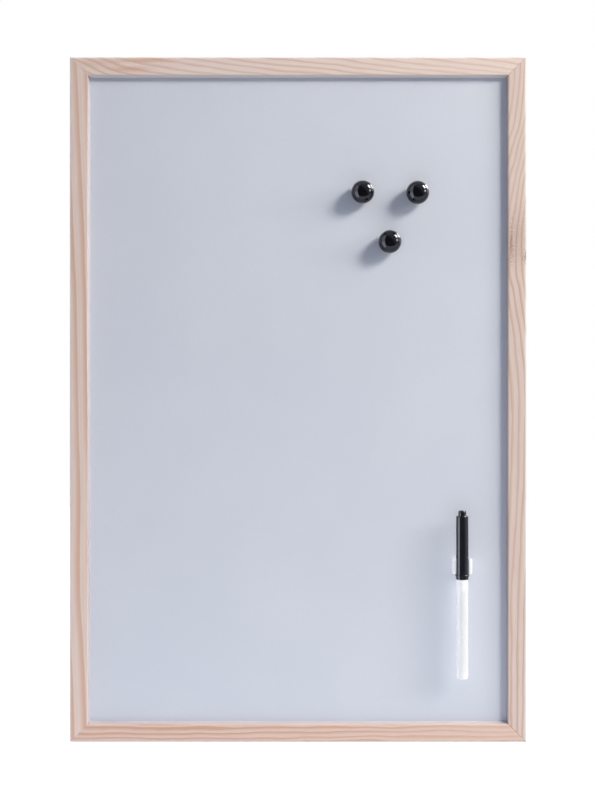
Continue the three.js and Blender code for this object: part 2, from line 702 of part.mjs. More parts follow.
// The collar that closes the barrel, carries the cap on its seat and holds the nib in its nose.
function penSection() {
  const bore = NIB_RADIUS + NIB_CLEARANCE;
  const spigotLow = BARREL_TOP - SECTION_SPIGOT_LENGTH;
  const beadMiddle = SEAT_LOW + SECTION_SEAT_LENGTH / 2;
  const beadHalf = SECTION_BEAD_LENGTH / 2;
  const coneRadius = SECTION_SEAT_RADIUS - PEN_EDGE;
  return turnedAboutZ([
    at(bore, spigotLow),
    at(SPIGOT_RADIUS - PEN_EDGE, spigotLow),
    at(SPIGOT_RADIUS, spigotLow + PEN_EDGE),
    at(SPIGOT_RADIUS, BARREL_TOP),
    at(BARREL_RADIUS, BARREL_TOP),
    at(BARREL_RADIUS, SEAT_LOW - PEN_EDGE),
    at(BARREL_RADIUS - PEN_EDGE, SEAT_LOW),
    at(SECTION_SEAT_RADIUS, SEAT_LOW),
    at(SECTION_SEAT_RADIUS, beadMiddle - beadHalf),
    at(SECTION_SEAT_RADIUS + SECTION_BEAD, beadMiddle),
    at(SECTION_SEAT_RADIUS, beadMiddle + beadHalf),
    at(SECTION_SEAT_RADIUS, SEAT_TOP - PEN_EDGE),
    at(coneRadius, SEAT_TOP),
    at(SECTION_NOSE_RADIUS, NOSE_LOW),
    at(SECTION_NOSE_RADIUS, NOSE_TOP - PEN_EDGE),
    at(SECTION_NOSE_RADIUS - PEN_EDGE, NOSE_TOP),
    at(bore, NOSE_TOP),
    at(bore, spigotLow),
  ]);
}

function penNib() {
  const low = RESERVOIR_TOP - NIB_SINK;
  const tip = NOSE_TOP + NIB_OUT;
  return turnedAboutZ([
    at(0, low),
    at(NIB_RADIUS, low),
    ...roundPoints(0, tip - NIB_RADIUS, NIB_RADIUS, 0, Math.PI / 2, ROUND_STEPS).slice(0, -1),
    at(0, tip),
  ]);
}

// The cap: a drafted tube with a flange above its mouth and a nub on its closed end.
function penCap() {
  const mouth = SEAT_LOW + CAP_SEAT_GAP;
  const flangeLow = mouth + CAP_SKIRT;
  const flangeTop = flangeLow + CAP_FLANGE_HEIGHT;
  const shoulder = mouth + CAP_LENGTH;
  const nubTop = shoulder + NUB_HEIGHT;
  const flangeEdge = (CAP_FLANGE_RADIUS - CAP_MOUTH_RADIUS) / 2;
  const mouthBore = CAP_MOUTH_RADIUS - CAP_WALL;
  const topBore = CAP_TOP_RADIUS - CAP_WALL;
  const boreEnd = shoulder - CAP_CROWN;
  return turnedAboutZ([
    at(mouthBore, mouth),
    at(CAP_MOUTH_RADIUS - PEN_EDGE, mouth),
    at(CAP_MOUTH_RADIUS, mouth + PEN_EDGE),
    at(CAP_MOUTH_RADIUS, flangeLow),
    at(CAP_FLANGE_RADIUS - flangeEdge, flangeLow),
    at(CAP_FLANGE_RADIUS, flangeLow + flangeEdge),
    at(CAP_FLANGE_RADIUS, flangeTop - flangeEdge),
    at(CAP_FLANGE_RADIUS - flangeEdge, flangeTop),
    at(CAP_MOUTH_RADIUS, flangeTop),
    ...roundPoints(
      CAP_TOP_RADIUS - CAP_SHOULDER_ROUND, shoulder - CAP_SHOULDER_ROUND, CAP_SHOULDER_ROUND, 0, Math.PI / 2,
    ),
    at(NUB_RADIUS, shoulder),
    ...roundPoints(NUB_RADIUS - NUB_ROUND, nubTop - NUB_ROUND, NUB_ROUND, 0, Math.PI / 2, ROUND_STEPS),
    at(0, nubTop),
    at(0, boreEnd),
    at(topBore - CAP_WALL, boreEnd),
    at(topBore, boreEnd - CAP_WALL),
    at(mouthBore, mouth),
  ]);
}

function pen() {
  const flangeTop = SEAT_LOW + CAP_SEAT_GAP + CAP_SKIRT + CAP_FLANGE_HEIGHT;
  const clipBottom = CLIP_Z - CLIP_HEIGHT / 2;
  const group = new THREE.Group();
  group.position.set(CLIP_X, SHEET_FRONT_Y - PEN_STANDOFF, clipBottom - FLANGE_GAP - flangeTop);
  group.add(piece('pen_barrel', penBarrel(), 'whitePlastic'));
  group.add(piece('pen_end_plug', penEndPlug(), 'whitePlastic'));
  group.add(piece('pen_reservoir', penReservoir(), 'fibre'));
  group.add(piece('pen_section', penSection(), 'whitePlastic'));
  group.add(piece('pen_nib', penNib(), 'inkedFelt'));
  group.add(piece('pen_cap', penCap(), 'blackPlastic'));
  return group;
}

// Whole board

const board = new THREE.Group();
board.add(...SIDES.map(railWithPoints));
board.add(...CORNERS.map(vNailPair));
board.add(panel('writing_sheet', SHEET_FRONT_Y, SHEET_BACK_Y, SHEET_CORNER, 'enamel'));
board.add(panel('backing_board', SHEET_BACK_Y, BACKING_BACK_Y, 0, 'hardboard'));
board.add(hanger('left', -1), hanger('right', 1));
board.add(...BALL_PLACE_SHARES.map(ballMagnet));
board.add(penClip(), pen());

export default board;
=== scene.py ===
"""Looks of the magnetic memo board: pine rails, enamelled sheet, ball magnets, pen and clip.

Metres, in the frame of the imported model: X to the right, Y towards the wall and Z up, with the
origin in the middle of the top rail's back. Profiles and outlines are in millimetres.
"""
import json
import math
from collections import namedtuple

import bmesh
import bpy
from mathutils import Matrix, Vector, noise

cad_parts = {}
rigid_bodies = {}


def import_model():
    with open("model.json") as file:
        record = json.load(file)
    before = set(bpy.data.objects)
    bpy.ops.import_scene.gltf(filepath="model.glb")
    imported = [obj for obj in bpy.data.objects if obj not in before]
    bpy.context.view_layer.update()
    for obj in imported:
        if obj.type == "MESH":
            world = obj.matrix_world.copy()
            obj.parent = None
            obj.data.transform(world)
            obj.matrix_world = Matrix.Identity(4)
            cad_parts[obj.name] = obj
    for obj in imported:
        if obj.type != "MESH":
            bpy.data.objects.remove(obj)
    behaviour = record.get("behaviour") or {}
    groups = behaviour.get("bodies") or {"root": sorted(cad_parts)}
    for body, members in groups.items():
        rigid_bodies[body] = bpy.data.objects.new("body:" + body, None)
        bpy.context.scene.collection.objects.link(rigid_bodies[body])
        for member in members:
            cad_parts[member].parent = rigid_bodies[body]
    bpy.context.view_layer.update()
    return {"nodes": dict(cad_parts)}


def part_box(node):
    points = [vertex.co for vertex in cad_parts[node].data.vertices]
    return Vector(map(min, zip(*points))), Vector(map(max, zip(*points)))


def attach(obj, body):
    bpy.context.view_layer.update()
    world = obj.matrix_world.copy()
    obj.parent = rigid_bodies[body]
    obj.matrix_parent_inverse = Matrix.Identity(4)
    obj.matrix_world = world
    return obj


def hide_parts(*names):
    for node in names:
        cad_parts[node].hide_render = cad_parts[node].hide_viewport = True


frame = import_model()

MM = 0.001

# Board, in millimetres
rail_low, rail_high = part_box("frame_left")
sheet_low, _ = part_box("writing_sheet")
BOARD_WIDTH = 400
BOARD_HEIGHT = 600
RAIL_FACE = 16            # front of a rail, without the slope of its lip
RAIL_DEPTH = -rail_low.y / MM
LIP_SLOPE = (rail_high.x - rail_low.x) / MM - RAIL_FACE
REBATE_WIDTH = 4.5
OUTER_ROUND = 2
INNER_ROUND = 0.35
BACK_ROUND = 0.8
SIDE_POINTS = (-1.6, -3.2, -5, -7, -9)       # Y of the section's points on the outer side
FACE_POINTS = (5.5, 7.5, 9.5, 11.5, 13.5)    # how far inward those on the front lie
REBATE_MIDDLE = -3        # Y of a point halfway down the rebate
MITRE_GAPS = {"top_left": 0.06, "top_right": 0.13, "bottom_left": 0.06, "bottom_right": 0.2}
STATION_STEP = 5          # between two sections of a rail
PLANING_WAVE = 0.06       # how far the planed faces wander from flat
SLOT_PLAY = 0.1           # round the nails, points and screws
CUTTER_REACH = 1          # of a cutter past the rail's back
NAIL_THICKNESS = 0.6
SCREW_HOLE_RADIUS = 1.5
SCREW_HOLE_SIDES = 24

BOARD_MIDDLE_Z = RAIL_FACE / 2 - BOARD_HEIGHT / 2
SHEET_FRONT = sheet_low.y / MM

SEGMENTS = 72             # of a turned piece
WIRE_SIDES = 14
SHARP_ANGLE = math.radians(32)
MAGNETS = (1, 2, 3)
HANDS = ("left", "right")

# Camera, in metres, with the lens in millimetres
CAMERA_PLACE = Vector((-0.0005, -1.0105, -0.2924))
CAMERA_LENS = 51.27

# Area lights, in metres and watts. One with a long axis is a rectangle, and the others are discs.
Light = namedtuple("Light", "place size power colour target long_axis", defaults=(None,))
BOARD_PLACE = (0, 0, BOARD_MIDDLE_Z * MM)
BALLS_PLACE = (0.078, -0.0165, -0.12)
WHITE = (1, 1, 1)
KEY_COLOUR = (1, 0.965, 0.855)
CARD_COLOUR = (1, 1.03, 1.32)
LIGHTS = {
    "key": Light((1.71, -1.377, 1.1), 0.66, 44.8, KEY_COLOUR, BOARD_PLACE),
    "soft_key": Light((1.92, -0.96, 1), 0.9, 22.4, KEY_COLOUR, BOARD_PLACE),
    "bounce": Light((-0.05, -0.28, -0.72), (1.1, 0.5), 1.15, (1, 1.02, 1.08), (0, 0, -0.2), (1, 0, 0)),
    "window": Light((1.575, -0.204, 1.22), (0.78, 0.62), 68, WHITE, BALLS_PLACE, (-0.636, 0.079, 0.768)),
    "sheet_window": Light((1.327, -1.212, 0.887), (0.6, 0.85), 400, WHITE, BALLS_PLACE,
                          (-0.435, 0.236, 0.869)),
    "lamp": Light((1.981, -0.559, 0.235), 0.5, 13, (1, 0.97, 0.96), BALLS_PLACE),
    "side_fill": Light((-1.9, -0.25, 0.3), 1.2, 7.5, (1, 1.02, 1.06), BOARD_PLACE),
    "pen_fill": Light((-1.4, -1.1, -0.1), 1, 11, (1, 1, 1.03), BOARD_PLACE),
    "low_card": Light((-2.4, -0.84, -1.7), (1.85, 3), 48, CARD_COLOUR, (-1.4, -0.84, -1.7), (0, 1, 0)),
    "high_card": Light((-2.4, -0.84, 1.3), (1.85, 3), 19, CARD_COLOUR, (-1.4, -0.84, 1.3), (0, 1, 0)),
}
# Light linking: the group of pieces that a light falls on, those that it misses, and those that
# cast no shadow in it
FALLS_ON = {
    "side_fill": "left_rail_and_clip",
    "pen_fill": "pen_whites",
    "window": "blacks",
    "sheet_window": "sheet",
    "low_card": "glossy",
    "high_card": "glossy",
}
MISSES = {"key": "blacks", "soft_key": "glossy", "lamp": "side_rails"}
NO_SHADOW = {"key": "pen"}
NOT_IN_GLOSS = ("bounce", "side_fill", "pen_fill")
ONLY_IN_GLOSS = ("window", "sheet_window", "low_card", "high_card")

# World and floor
FRONT_FILL = (0.152, 0.171, 0.242)
BACK_FILL = (1.1, 1.19, 1.27)
LEFT_CARD_SLOPE = 1.418   # sideways for each step ahead, where the card begins
LEFT_CARD_LEVEL = 1.1
LOWER_CARD_SLOPE = 1.3
LOWER_CARD_LEVEL = 1.35
FLOOR_Z = -0.95
FLOOR_HALF = 6
FLOOR_GLOW = 0.45         # seen by the camera alone


def srgb(red, green, blue):
    """A colour of the screen, 0 to 255, as the linear colour that a shader takes."""
    def linear(value):
        share = value / 255
        return share / 12.92 if share <= 0.04045 else ((share + 0.055) / 1.055) ** 2.4
    return (linear(red), linear(green), linear(blue), 1)


# Shaders


class Shader:
    """The nodes of a material or world, built by calls that each give the socket of their result."""

    def __init__(self, owner):
        owner.use_nodes = True
        owner.node_tree.nodes.clear()
        self.owner = owner
        self.tree = owner.node_tree

    def add(self, kind, inputs=None, output=0, **settings):
        """Adds a node, and gives one of its outputs."""
        node = self.tree.nodes.new("ShaderNode" + kind)
        for key, value in settings.items():
            setattr(node, key, value)
        for key, value in (inputs or {}).items():
            self.put(node.inputs[key], value)
        return node.outputs[output]

    def put(self, socket, value):
        """Links a socket to another, or sets its value."""
        if isinstance(value, bpy.types.NodeSocket):
            self.tree.links.new(value, socket)
        else:
            socket.default_value = value

    def math(self, operation, first, second=0, third=0):
        return self.add("Math", {0: first, 1: second, 2: third}, operation=operation)

    def plus(self, first, second):
        return self.math("ADD", first, second)

    def times(self, first, second):
        return self.math("MULTIPLY", first, second)

    def fit(self, value, low, high, to_low=0, to_high=1, smooth=True):
        """Maps low to high onto another range, and holds the value beyond both ends."""
        inputs = {"Value": value, "From Min": low, "From Max": high, "To Min": to_low, "To Max": to_high}
        kind = "SMOOTHSTEP" if smooth else "LINEAR"
        return self.add("MapRange", inputs, interpolation_type=kind, clamp=True)

    def mix(self, share, first, second, blend="MIX"):
        inputs = {0: share, 6: first, 7: second}
        return self.add("Mix", inputs, output=2, data_type="RGBA", blend_type=blend)

    def noise(self, vector, scale=1, detail=3, roughness=0.5, distortion=0):
        inputs = {"Vector": vector, "Scale": scale, "Detail": detail, "Roughness": roughness,
                  "Distortion": distortion}
        return self.add("TexNoise", inputs, noise_dimensions="3D")

    def place(self):
        """The point's place on the piece, which is its place in the row frame at rest."""
        return self.add("TexCoord", output="Object")

    def parts(self, vector):
        outputs = self.add("SeparateXYZ", {0: vector}).node.outputs
        return outputs[0], outputs[1], outputs[2]

    def vector(self, x, y, z):
        return self.add("CombineXYZ", {0: x, 1: y, 2: z})

    def stretch(self, vector, x, y, z):
        return self.add("VectorMath", {0: vector, 1: (x, y, z)}, operation="MULTIPLY")

    def scaled(self, colour, share):
        """A fixed colour times a share."""
        return self.mix(1, (*colour, 1), self.vector(share, share, share), "MULTIPLY")

    def curve(self, value, points):
        """A smooth curve through points, for a value from 0 to 1."""
        heights = [height for _, height in points]
        low = min(heights)
        size = (max(heights) - low) or 1
        result = self.add("FloatCurve", {"Value": value})
        mapping = result.node.mapping
        line = mapping.curves[0].points
        line[0].location = (points[0][0], (points[0][1] - low) / size)
        line[1].location = (points[-1][0], (points[-1][1] - low) / size)
        for share, height in points[1:-1]:
            line.new(share, (height - low) / size)
        mapping.update()
        return self.math("MULTIPLY_ADD", result, size, low)

    def ramp(self, value, stops):
        result = self.add("ValToRGB", {0: value})
        elements = result.node.color_ramp.elements
        while len(elements) < len(stops):
            elements.new(0.5)
        for element, (place, colour) in zip(elements, stops):
            element.position = place
            element.color = colour
        return result

    def bump(self, height, distance, strength=1):
        inputs = {"Height": height, "Distance": distance, "Strength": strength}
        return self.add("Bump", inputs)

    def finish(self, colour, roughness, normal, **constants):
        """Ends in a Principled shader, with constants on its own sockets. Gives the material."""
        inputs = {"Base Color": colour, "Roughness": roughness, "Normal": normal}
        result = self.add("BsdfPrincipled", inputs)
        for name, value in constants.items():
            result.node.inputs[name.replace("_", " ")].default_value = value
        self.add_output(result)
        return self.owner

    def add_output(self, surface, kind="OutputMaterial"):
        output = self.tree.nodes.new("ShaderNode" + kind)
        self.put(output.inputs["Surface"], surface)


def new_shader(name):
    return Shader(bpy.data.materials.new(name))


# Pine. Each rail has its own grain, drawn as rings that drift across the rail along its length.
# Shares along run from the left or the top end, and shares across from the outer edge. Lines is
# the number of rings across the face, drift their shift in rings, and width that of the late wood.

GRAIN = {
    "left": {
        "lines": [(0, 1.75), (0.245, 1.75), (0.35, 1.92), (0.5, 1.92), (0.6, 1.75), (0.75, 1.54),
                  (1, 1.5)],
        "drift": [(0, 0.62), (0.08, 0.85), (0.2, 1.2), (0.29, 1.45), (0.35, 1.7), (0.41, 1.77),
                  (0.5, 1.86), (0.615, 1.98), (0.75, 1.84), (0.855, 2.07), (0.92, 2.25), (1, 2.38)],
        "strength": [(0, 0.8), (0.15, 0.95), (0.45, 1), (0.55, 0.9), (0.66, 1.1), (0.85, 1.1), (1, 1)],
        "width": 0.34, "wander": 0.035, "variety": 0.15, "seed": 3,
        "base": (220, 198, 190), "late": (208, 172, 153),
    },
    "right": {
        "lines": [(0, 3.6), (0.22, 3.6), (0.3, 3.2), (0.42, 2.8), (0.55, 2.7), (0.8, 2.8), (1, 3.2)],
        "drift": [(0, 0.3), (0.06, 0.9), (0.14, 3.3), (0.22, 5.4), (0.29, 6.1), (0.34, 5.35), (0.43, 3.9),
                  (0.5, 3.3), (0.6, 3.4), (0.72, 4), (0.82, 4.5), (1, 4.8)],
        "strength": [(0, 0.85), (0.2, 0.75), (0.3, 0.8), (0.5, 0.8), (0.8, 0.95), (1, 1.1)],
        "width": 0.3, "wander": 0.24, "variety": 0.35, "seed": 11,
        "base": (216, 195, 187), "late": (199, 168, 153),
    },
    "top": {
        "lines": [(0, 3), (0.15, 3), (0.4, 3.2), (1, 3.4)],
        "drift": [(0, 0.15), (0.05, 1.8), (0.12, 3.6), (0.2, 4.7), (0.4, 6.9), (0.7, 9.7), (1, 12.6)],
        "strength": [(0, 0.75), (0.06, 0.85), (0.17, 0.85), (0.26, 0.72), (0.6, 0.68), (1, 0.66)],
        "width": 0.32, "wander": 0.36, "variety": 0.4, "seed": 23,
        "base": (219, 200, 193), "late": (202, 170, 155),
    },
    "bottom": {
        "lines": [(0, 3.3), (0.5, 3.7), (1, 3.5)],
        "drift": [(0, 0.9), (0.2, 1), (0.5, 1.35), (0.75, 1.15), (1, 1.5)],
        "strength": [(0, 0.75), (0.08, 1.05), (0.3, 1), (0.42, 0.75), (1, 0.75)],
        "width": 0.42, "wander": 0.42, "variety": 0.8, "seed": 37,
        "base": (214, 188, 177), "late": (202, 158, 137),
    },
}
# Stains: share along, share across, half length and half width in millimetres, depth of colour
STAINS = {
    "right": [(0.262, 0.5, 28, 13, 0.22), (0.292, 0.05, 7, 3, 0.5), (0.277, 0.83, 17, 2.2, 0.36)],
    "top": [(0.13, 0.68, 24, 3.2, 0.55), (0.17, 0.2, 34, 3, 0.55), (0.06, 0.35, 26, 6, 0.25)],
}
STAIN_COLOURS = {"right": srgb(128, 84, 70), "top": srgb(200, 146, 118)}
STAIN_SPECKLE = {"right": 2.4, "top": 1.1}    # how ragged their edges are
# The lip's greyer cut face, with a grey of its own on each side, lighter or darker as painted light and
# shade
LIP_GREY_AND_SHADE = {
    "left": srgb(172, 166, 174),
    "right": srgb(172, 165, 168),
    "top": srgb(214, 208, 210),
    "bottom": srgb(180, 175, 179),
}
# Painted reflection: the pale tone of the rounded outer edge, as if it mirrored the white room
EDGE_SHEEN_COLOUR = srgb(216, 216, 220)
CANAL_COLOUR = srgb(170, 130, 112)
MOTTLE_SHIFT = (2, 5, 4)  # from the rail's base colour to the lighter one
RAIL_SPAN = {"left": BOARD_HEIGHT, "right": BOARD_HEIGHT, "top": BOARD_WIDTH, "bottom": BOARD_WIDTH}

# Noise on a rail: steps along it, across its face and into its depth for each width of the face,
# and the noise's detail and roughness
SLOW_WANDER = (0.16, 1, 0, 2, 0.5)
QUICK_WANDER = (0.6, 2, 0, 2, 0.5)
FIBRES = (1.6, 46, 46, 4, 0.62)
MOTTLE = (0.35, 3, 1, 3, 0.5)
CANALS = (0.9, 24, 24, 2, 0.5)
RING_TILT = 0.55          # how far the rings lean across the face for each step of depth
RING_OFFSET = 40          # keeps the rings' numbers above 0
FINE_RINGS = 3            # fine rings to a strong one


def rail_shares(shader, side):
    """Share along the rail, and across it and into its depth in widths of the face."""
    x, y, z = shader.parts(shader.place())
    face = RAIL_FACE * MM
    half_width = BOARD_WIDTH * MM / 2
    top = face / 2
    bottom = top - BOARD_HEIGHT * MM
    depth = shader.times(shader.plus(y, RAIL_DEPTH * MM), 1 / face)
    if side in HANDS:
        along = shader.times(shader.math("SUBTRACT", top, z), 1 / (BOARD_HEIGHT * MM))
    else:
        along = shader.times(shader.plus(x, half_width), 1 / (BOARD_WIDTH * MM))
    place, sign, offset = {
        "left": (x, 1, half_width),
        "right": (x, -1, half_width),
        "top": (z, -1, top),
        "bottom": (z, 1, -bottom),
    }[side]
    inward = shader.math("MULTIPLY_ADD", place, sign, offset)
    return along, shader.times(inward, 1 / face), depth


def rail_noise(shader, side, shares, kind, seed=0):
    """Noise of one of the kinds above. The rail's own seed is added to the seed."""
    along, across, depth = shares
    run, rise, sink, detail, roughness = kind
    length = RAIL_SPAN[side] / RAIL_FACE
    place = shader.vector(shader.times(along, length * run), shader.times(across, rise),
                          shader.plus(shader.times(depth, sink), GRAIN[side]["seed"] + seed))
    return shader.noise(place, 1, detail, roughness)


def rail_rings(shader, side, shares):
    """The number of the ring at a point. The rings drift across the rail and wander a little."""
    grain = GRAIN[side]
    along, across, depth = shares
    slow = rail_noise(shader, side, shares, SLOW_WANDER)
    quick = rail_noise(shader, side, shares, QUICK_WANDER, seed=5)
    wander = shader.plus(shader.times(shader.plus(slow, -0.5), 4 * grain["wander"]),
                         shader.times(shader.plus(quick, -0.5), grain["wander"]))
    tilted = shader.plus(across, shader.times(depth, RING_TILT))
    rings = shader.times(tilted, shader.curve(along, grain["lines"]))
    rings = shader.math("SUBTRACT", rings, shader.curve(along, grain["drift"]))
    return shader.plus(rings, wander)


def ring_strength(shader, side, along, rings):
    """How dark each ring's late wood is. It varies along the rail and from ring to ring."""
    grain = GRAIN[side]
    variety = grain["variety"]
    length = RAIL_SPAN[side] / RAIL_FACE
    number = shader.math("FLOOR", shader.plus(rings, RING_OFFSET + 0.3 * grain["width"]))
    place = shader.vector(shader.times(number, 0.37), shader.times(along, length * 0.05), grain["seed"])
    own = shader.fit(shader.noise(place, 1, 1), 0.25, 0.75, 1 - variety, 1 + variety, smooth=False)
    return shader.times(shader.curve(along, grain["strength"]), own)


def late_wood(shader, side, shares):
    """Share of late wood, which deepens slowly through a ring, with fine rings between."""
    width = GRAIN[side]["width"]
    rings = rail_rings(shader, side, shares)
    ring = shader.math("FRACT", shader.plus(rings, RING_OFFSET))
    rise = shader.fit(ring, 1 - 1.7 * width, 0.97)
    fall = shader.fit(ring, 0.35 * width, 0)
    late = shader.math("MAXIMUM", rise, fall)
    fine = shader.plus(shader.times(rings, FINE_RINGS), FINE_RINGS * RING_OFFSET)
    fine = shader.times(shader.fit(shader.math("FRACT", fine), 0.45, 1), 0.2)
    strength = ring_strength(shader, side, shares[0], rings)
    return shader.math("MAXIMUM", shader.times(late, strength), fine)


def stain_share(shader, side, along, across):
    """How strongly the rail is stained at a point, with a speckled edge."""
    speckle = shader.noise(shader.place(), 650, 3, 0.6)
    total = 0
    for place_along, place_across, half_length, half_width, depth in STAINS[side]:
        run = shader.times(shader.plus(along, -place_along), RAIL_SPAN[side] / half_length)
        rise = shader.times(shader.plus(across, -place_across), RAIL_FACE / half_width)
        reach = shader.math("SQRT", shader.plus(shader.times(run, run), shader.times(rise, rise)))
        rough = shader.plus(reach, shader.times(shader.plus(speckle, -0.5), STAIN_SPECKLE[side]))
        total = shader.plus(shader.fit(rough, 1.15, 0.1, 0, depth), total)
    return shader.math("MINIMUM", total, 0.9)


def pine_colour(shader, side, shares, late, fibre):
    """Early and late wood, the lip's grey with painted light and shade, a painted sheen on the outer
    edge, fibres, resin canals and stains.
    """
    along, across, depth = shares
    base = GRAIN[side]["base"]
    lighter = [value + shift for value, shift in zip(base, MOTTLE_SHIFT)]
    mottle = rail_noise(shader, side, shares, MOTTLE)
    colour = shader.mix(shader.fit(mottle, 0.3, 0.7), srgb(*base), srgb(*lighter))
    colour = shader.mix(shader.math("MINIMUM", late, 1), colour, srgb(*GRAIN[side]["late"]))
    # Painted light and shade: the lip's face takes its side's grey, which stands in for the light or
    # shade it gets
    colour = shader.mix(shader.fit(across, 0.985, 1.02, 0, 0.85), colour, LIP_GREY_AND_SHADE[side])
    # Painted sheen on the rounded outer edge, strongest at the front
    edge = shader.times(shader.fit(across, 0.15, 0.03), shader.fit(depth, 0.2, 0.05, 0, 0.45))
    colour = shader.mix(edge, colour, EDGE_SHEEN_COLOUR)
    tone = shader.fit(fibre, 0.25, 0.75, 0.955, 1.04, smooth=False)
    grey = shader.add("CombineColor", {0: tone, 1: tone, 2: tone})
    colour = shader.mix(1, colour, grey, "MULTIPLY")
    canal = rail_noise(shader, side, shares, CANALS, seed=9)
    colour = shader.mix(shader.fit(canal, 0.7, 0.78, 0, 0.3), colour, CANAL_COLOUR)
    if side in STAINS:
        colour = shader.mix(stain_share(shader, side, along, across), colour, STAIN_COLOURS[side])
    return colour


def make_pine(side):
    shader = new_shader("pine_" + side)
    shares = rail_shares(shader, side)
    late = late_wood(shader, side, shares)
    fibre = rail_noise(shader, side, shares, FIBRES)
    colour = pine_colour(shader, side, shares, late, fibre)
    roughness = shader.plus(shader.fit(fibre, 0.2, 0.8, 0.5, 0.66, smooth=False),
                            shader.times(late, -0.08))
    height = shader.plus(fibre, shader.times(late, 0.8))
    return shader.finish(colour, roughness, shader.bump(height, 0.05 * MM), IOR=1.45)


# Other materials


def make_enamel():
    """Glossy enamel on steel: a faint cloudiness, a slight orange peel and a few wiping marks."""
    shader = new_shader("enamel")
    place = shader.place()
    cloud = shader.noise(place, 9, 3)
    grain = shader.noise(place, 700, 3, 0.6)
    colour = shader.mix(shader.fit(cloud, 0.3, 0.7), srgb(203, 207, 219), srgb(206, 210, 221))
    colour = shader.mix(shader.fit(grain, 0.3, 0.7, 0, 0.35), colour, srgb(200, 204, 217))
    wiped = shader.noise(shader.stretch(place, 26, 26, 4), 1, 4, 0.6, 0.4)
    roughness = shader.fit(wiped, 0.35, 0.7, 0.1, 0.16)
    peel = shader.noise(place, 420, 2)
    return shader.finish(colour, roughness, shader.bump(peel, 0.01 * MM, 0.4), IOR=1.5)


def make_plastic(name, tones, roughness_range, ior, scuffs, **constants):
    """Moulded plastic: two close tones, fine flow marks, and scuffs that are rougher."""
    shader = new_shader(name)
    place = shader.place()
    tone = shader.noise(place, 160, 3)
    colour = shader.mix(shader.fit(tone, 0.3, 0.7), *tones)
    flow = shader.noise(shader.stretch(place, 900, 900, 260), 1, 3, 0.6)
    roughness = shader.fit(flow, 0.3, 0.75, *roughness_range)
    scratch = shader.noise(shader.stretch(place, 2600, 2600, 170), 1, 2)
    roughness = shader.plus(roughness, shader.fit(scratch, 0.68, 0.74, 0, scuffs))
    skin = shader.noise(place, 1300, 2)
    return shader.finish(colour, roughness, shader.bump(skin, 0.004 * MM, 0.5), IOR=ior, **constants)


def make_zinc():
    """Zinc plate: a spangle of slightly different greys, worn darker and rougher in places."""
    shader = new_shader("zinc")
    place = shader.place()
    spangle = shader.add("TexVoronoi", {"Vector": place, "Scale": 900}, output="Color")
    grey = shader.add("RGBToBW", {0: spangle})
    colour = shader.mix(grey, srgb(196, 198, 204), srgb(219, 220, 224))
    worn = shader.noise(place, 500, 4, 0.6)
    colour = shader.mix(shader.fit(worn, 0.55, 0.8, 0, 0.4), colour, srgb(160, 158, 154))
    roughness = shader.fit(worn, 0.2, 0.8, 0.24, 0.46)
    return shader.finish(colour, roughness, shader.bump(worn, 0.01 * MM, 0.5), Metallic=1)


def make_nickel():
    """Nickel plate with a faint cloudiness."""
    shader = new_shader("nickel")
    cloud = shader.noise(shader.place(), 700, 4, 0.55)
    colour = shader.mix(shader.fit(cloud, 0.3, 0.7), srgb(205, 203, 200), srgb(224, 223, 221))
    roughness = shader.fit(cloud, 0.25, 0.75, 0.12, 0.26)
    return shader.finish(colour, roughness, shader.bump(cloud, 0.006 * MM, 0.5), Metallic=1)


def make_hardboard():
    """Pressed fibreboard: matted fibres in three browns, with the weave of the press screen."""
    shader = new_shader("hardboard")
    place = shader.place()
    x, _, z = shader.parts(place)
    matted = shader.noise(shader.stretch(place, 900, 900, 420), 1, 4, 0.65, 1.2)
    clumps = shader.noise(place, 55, 4, 0.55)
    browns = [(0.28, srgb(96, 68, 48)), (0.5, srgb(137, 101, 73)), (0.74, srgb(168, 131, 98))]
    colour = shader.mix(shader.fit(clumps, 0.3, 0.7, 0, 0.5), shader.ramp(matted, browns),
                        srgb(122, 86, 60))
    screen = shader.times(*(shader.math("SINE", shader.times(axis, 2600)) for axis in (x, z)))
    height = shader.plus(matted, shader.times(screen, 0.16))
    roughness = shader.fit(matted, 0.2, 0.8, 0.72, 0.9)
    return shader.finish(colour, roughness, shader.bump(height, 0.1 * MM, 0.7), IOR=1.4)


def make_fibre(name, dark, light, scale):
    """Bonded fibres that run along the pen."""
    shader = new_shader(name)
    place = shader.place()
    strands = shader.noise(shader.stretch(place, scale, scale, scale / 14), 1, 4, 0.65)
    blotch = shader.noise(place, scale / 12, 3)
    colour = shader.mix(shader.fit(strands, 0.3, 0.7), dark, light)
    colour = shader.mix(shader.fit(blotch, 0.45, 0.75, 0, 0.6), colour, dark)
    roughness = shader.fit(strands, 0.2, 0.8, 0.8, 0.96)
    return shader.finish(colour, roughness, shader.bump(strands, 0.06 * MM, 0.8), IOR=1.4)


PINE = {side: make_pine(side) for side in GRAIN}
ENAMEL = make_enamel()
BALL_TONES = ((0.0032, 0.0032, 0.0036, 1), (0.0042, 0.0042, 0.0048, 1))
CAP_TONES = ((0.01, 0.01, 0.012, 1), (0.013, 0.013, 0.0155, 1))
PEN_TONES = (srgb(244, 244, 247), srgb(246, 246, 249))
CLIP_TONES = (srgb(243, 244, 247), srgb(245, 246, 249))
MILKY = {"Subsurface_Weight": 0.6, "Subsurface_Scale": 0.004, "Subsurface_Radius": (1, 1, 1)}
BALL_BLACK = make_plastic("ball_black", BALL_TONES, (0.03, 0.08), 1.4, 0.05)
CAP_BLACK = make_plastic("cap_black", CAP_TONES, (0.08, 0.14), 1.5, 0.06)
PEN_WHITE = make_plastic("pen_white", PEN_TONES, (0.2, 0.3), 1.5, 0.06, **MILKY)
CLIP_WHITE = make_plastic("clip_white", CLIP_TONES, (0.24, 0.34), 1.5, 0.04, **MILKY)
ZINC = make_zinc()
NICKEL = make_nickel()
HARDBOARD = make_hardboard()
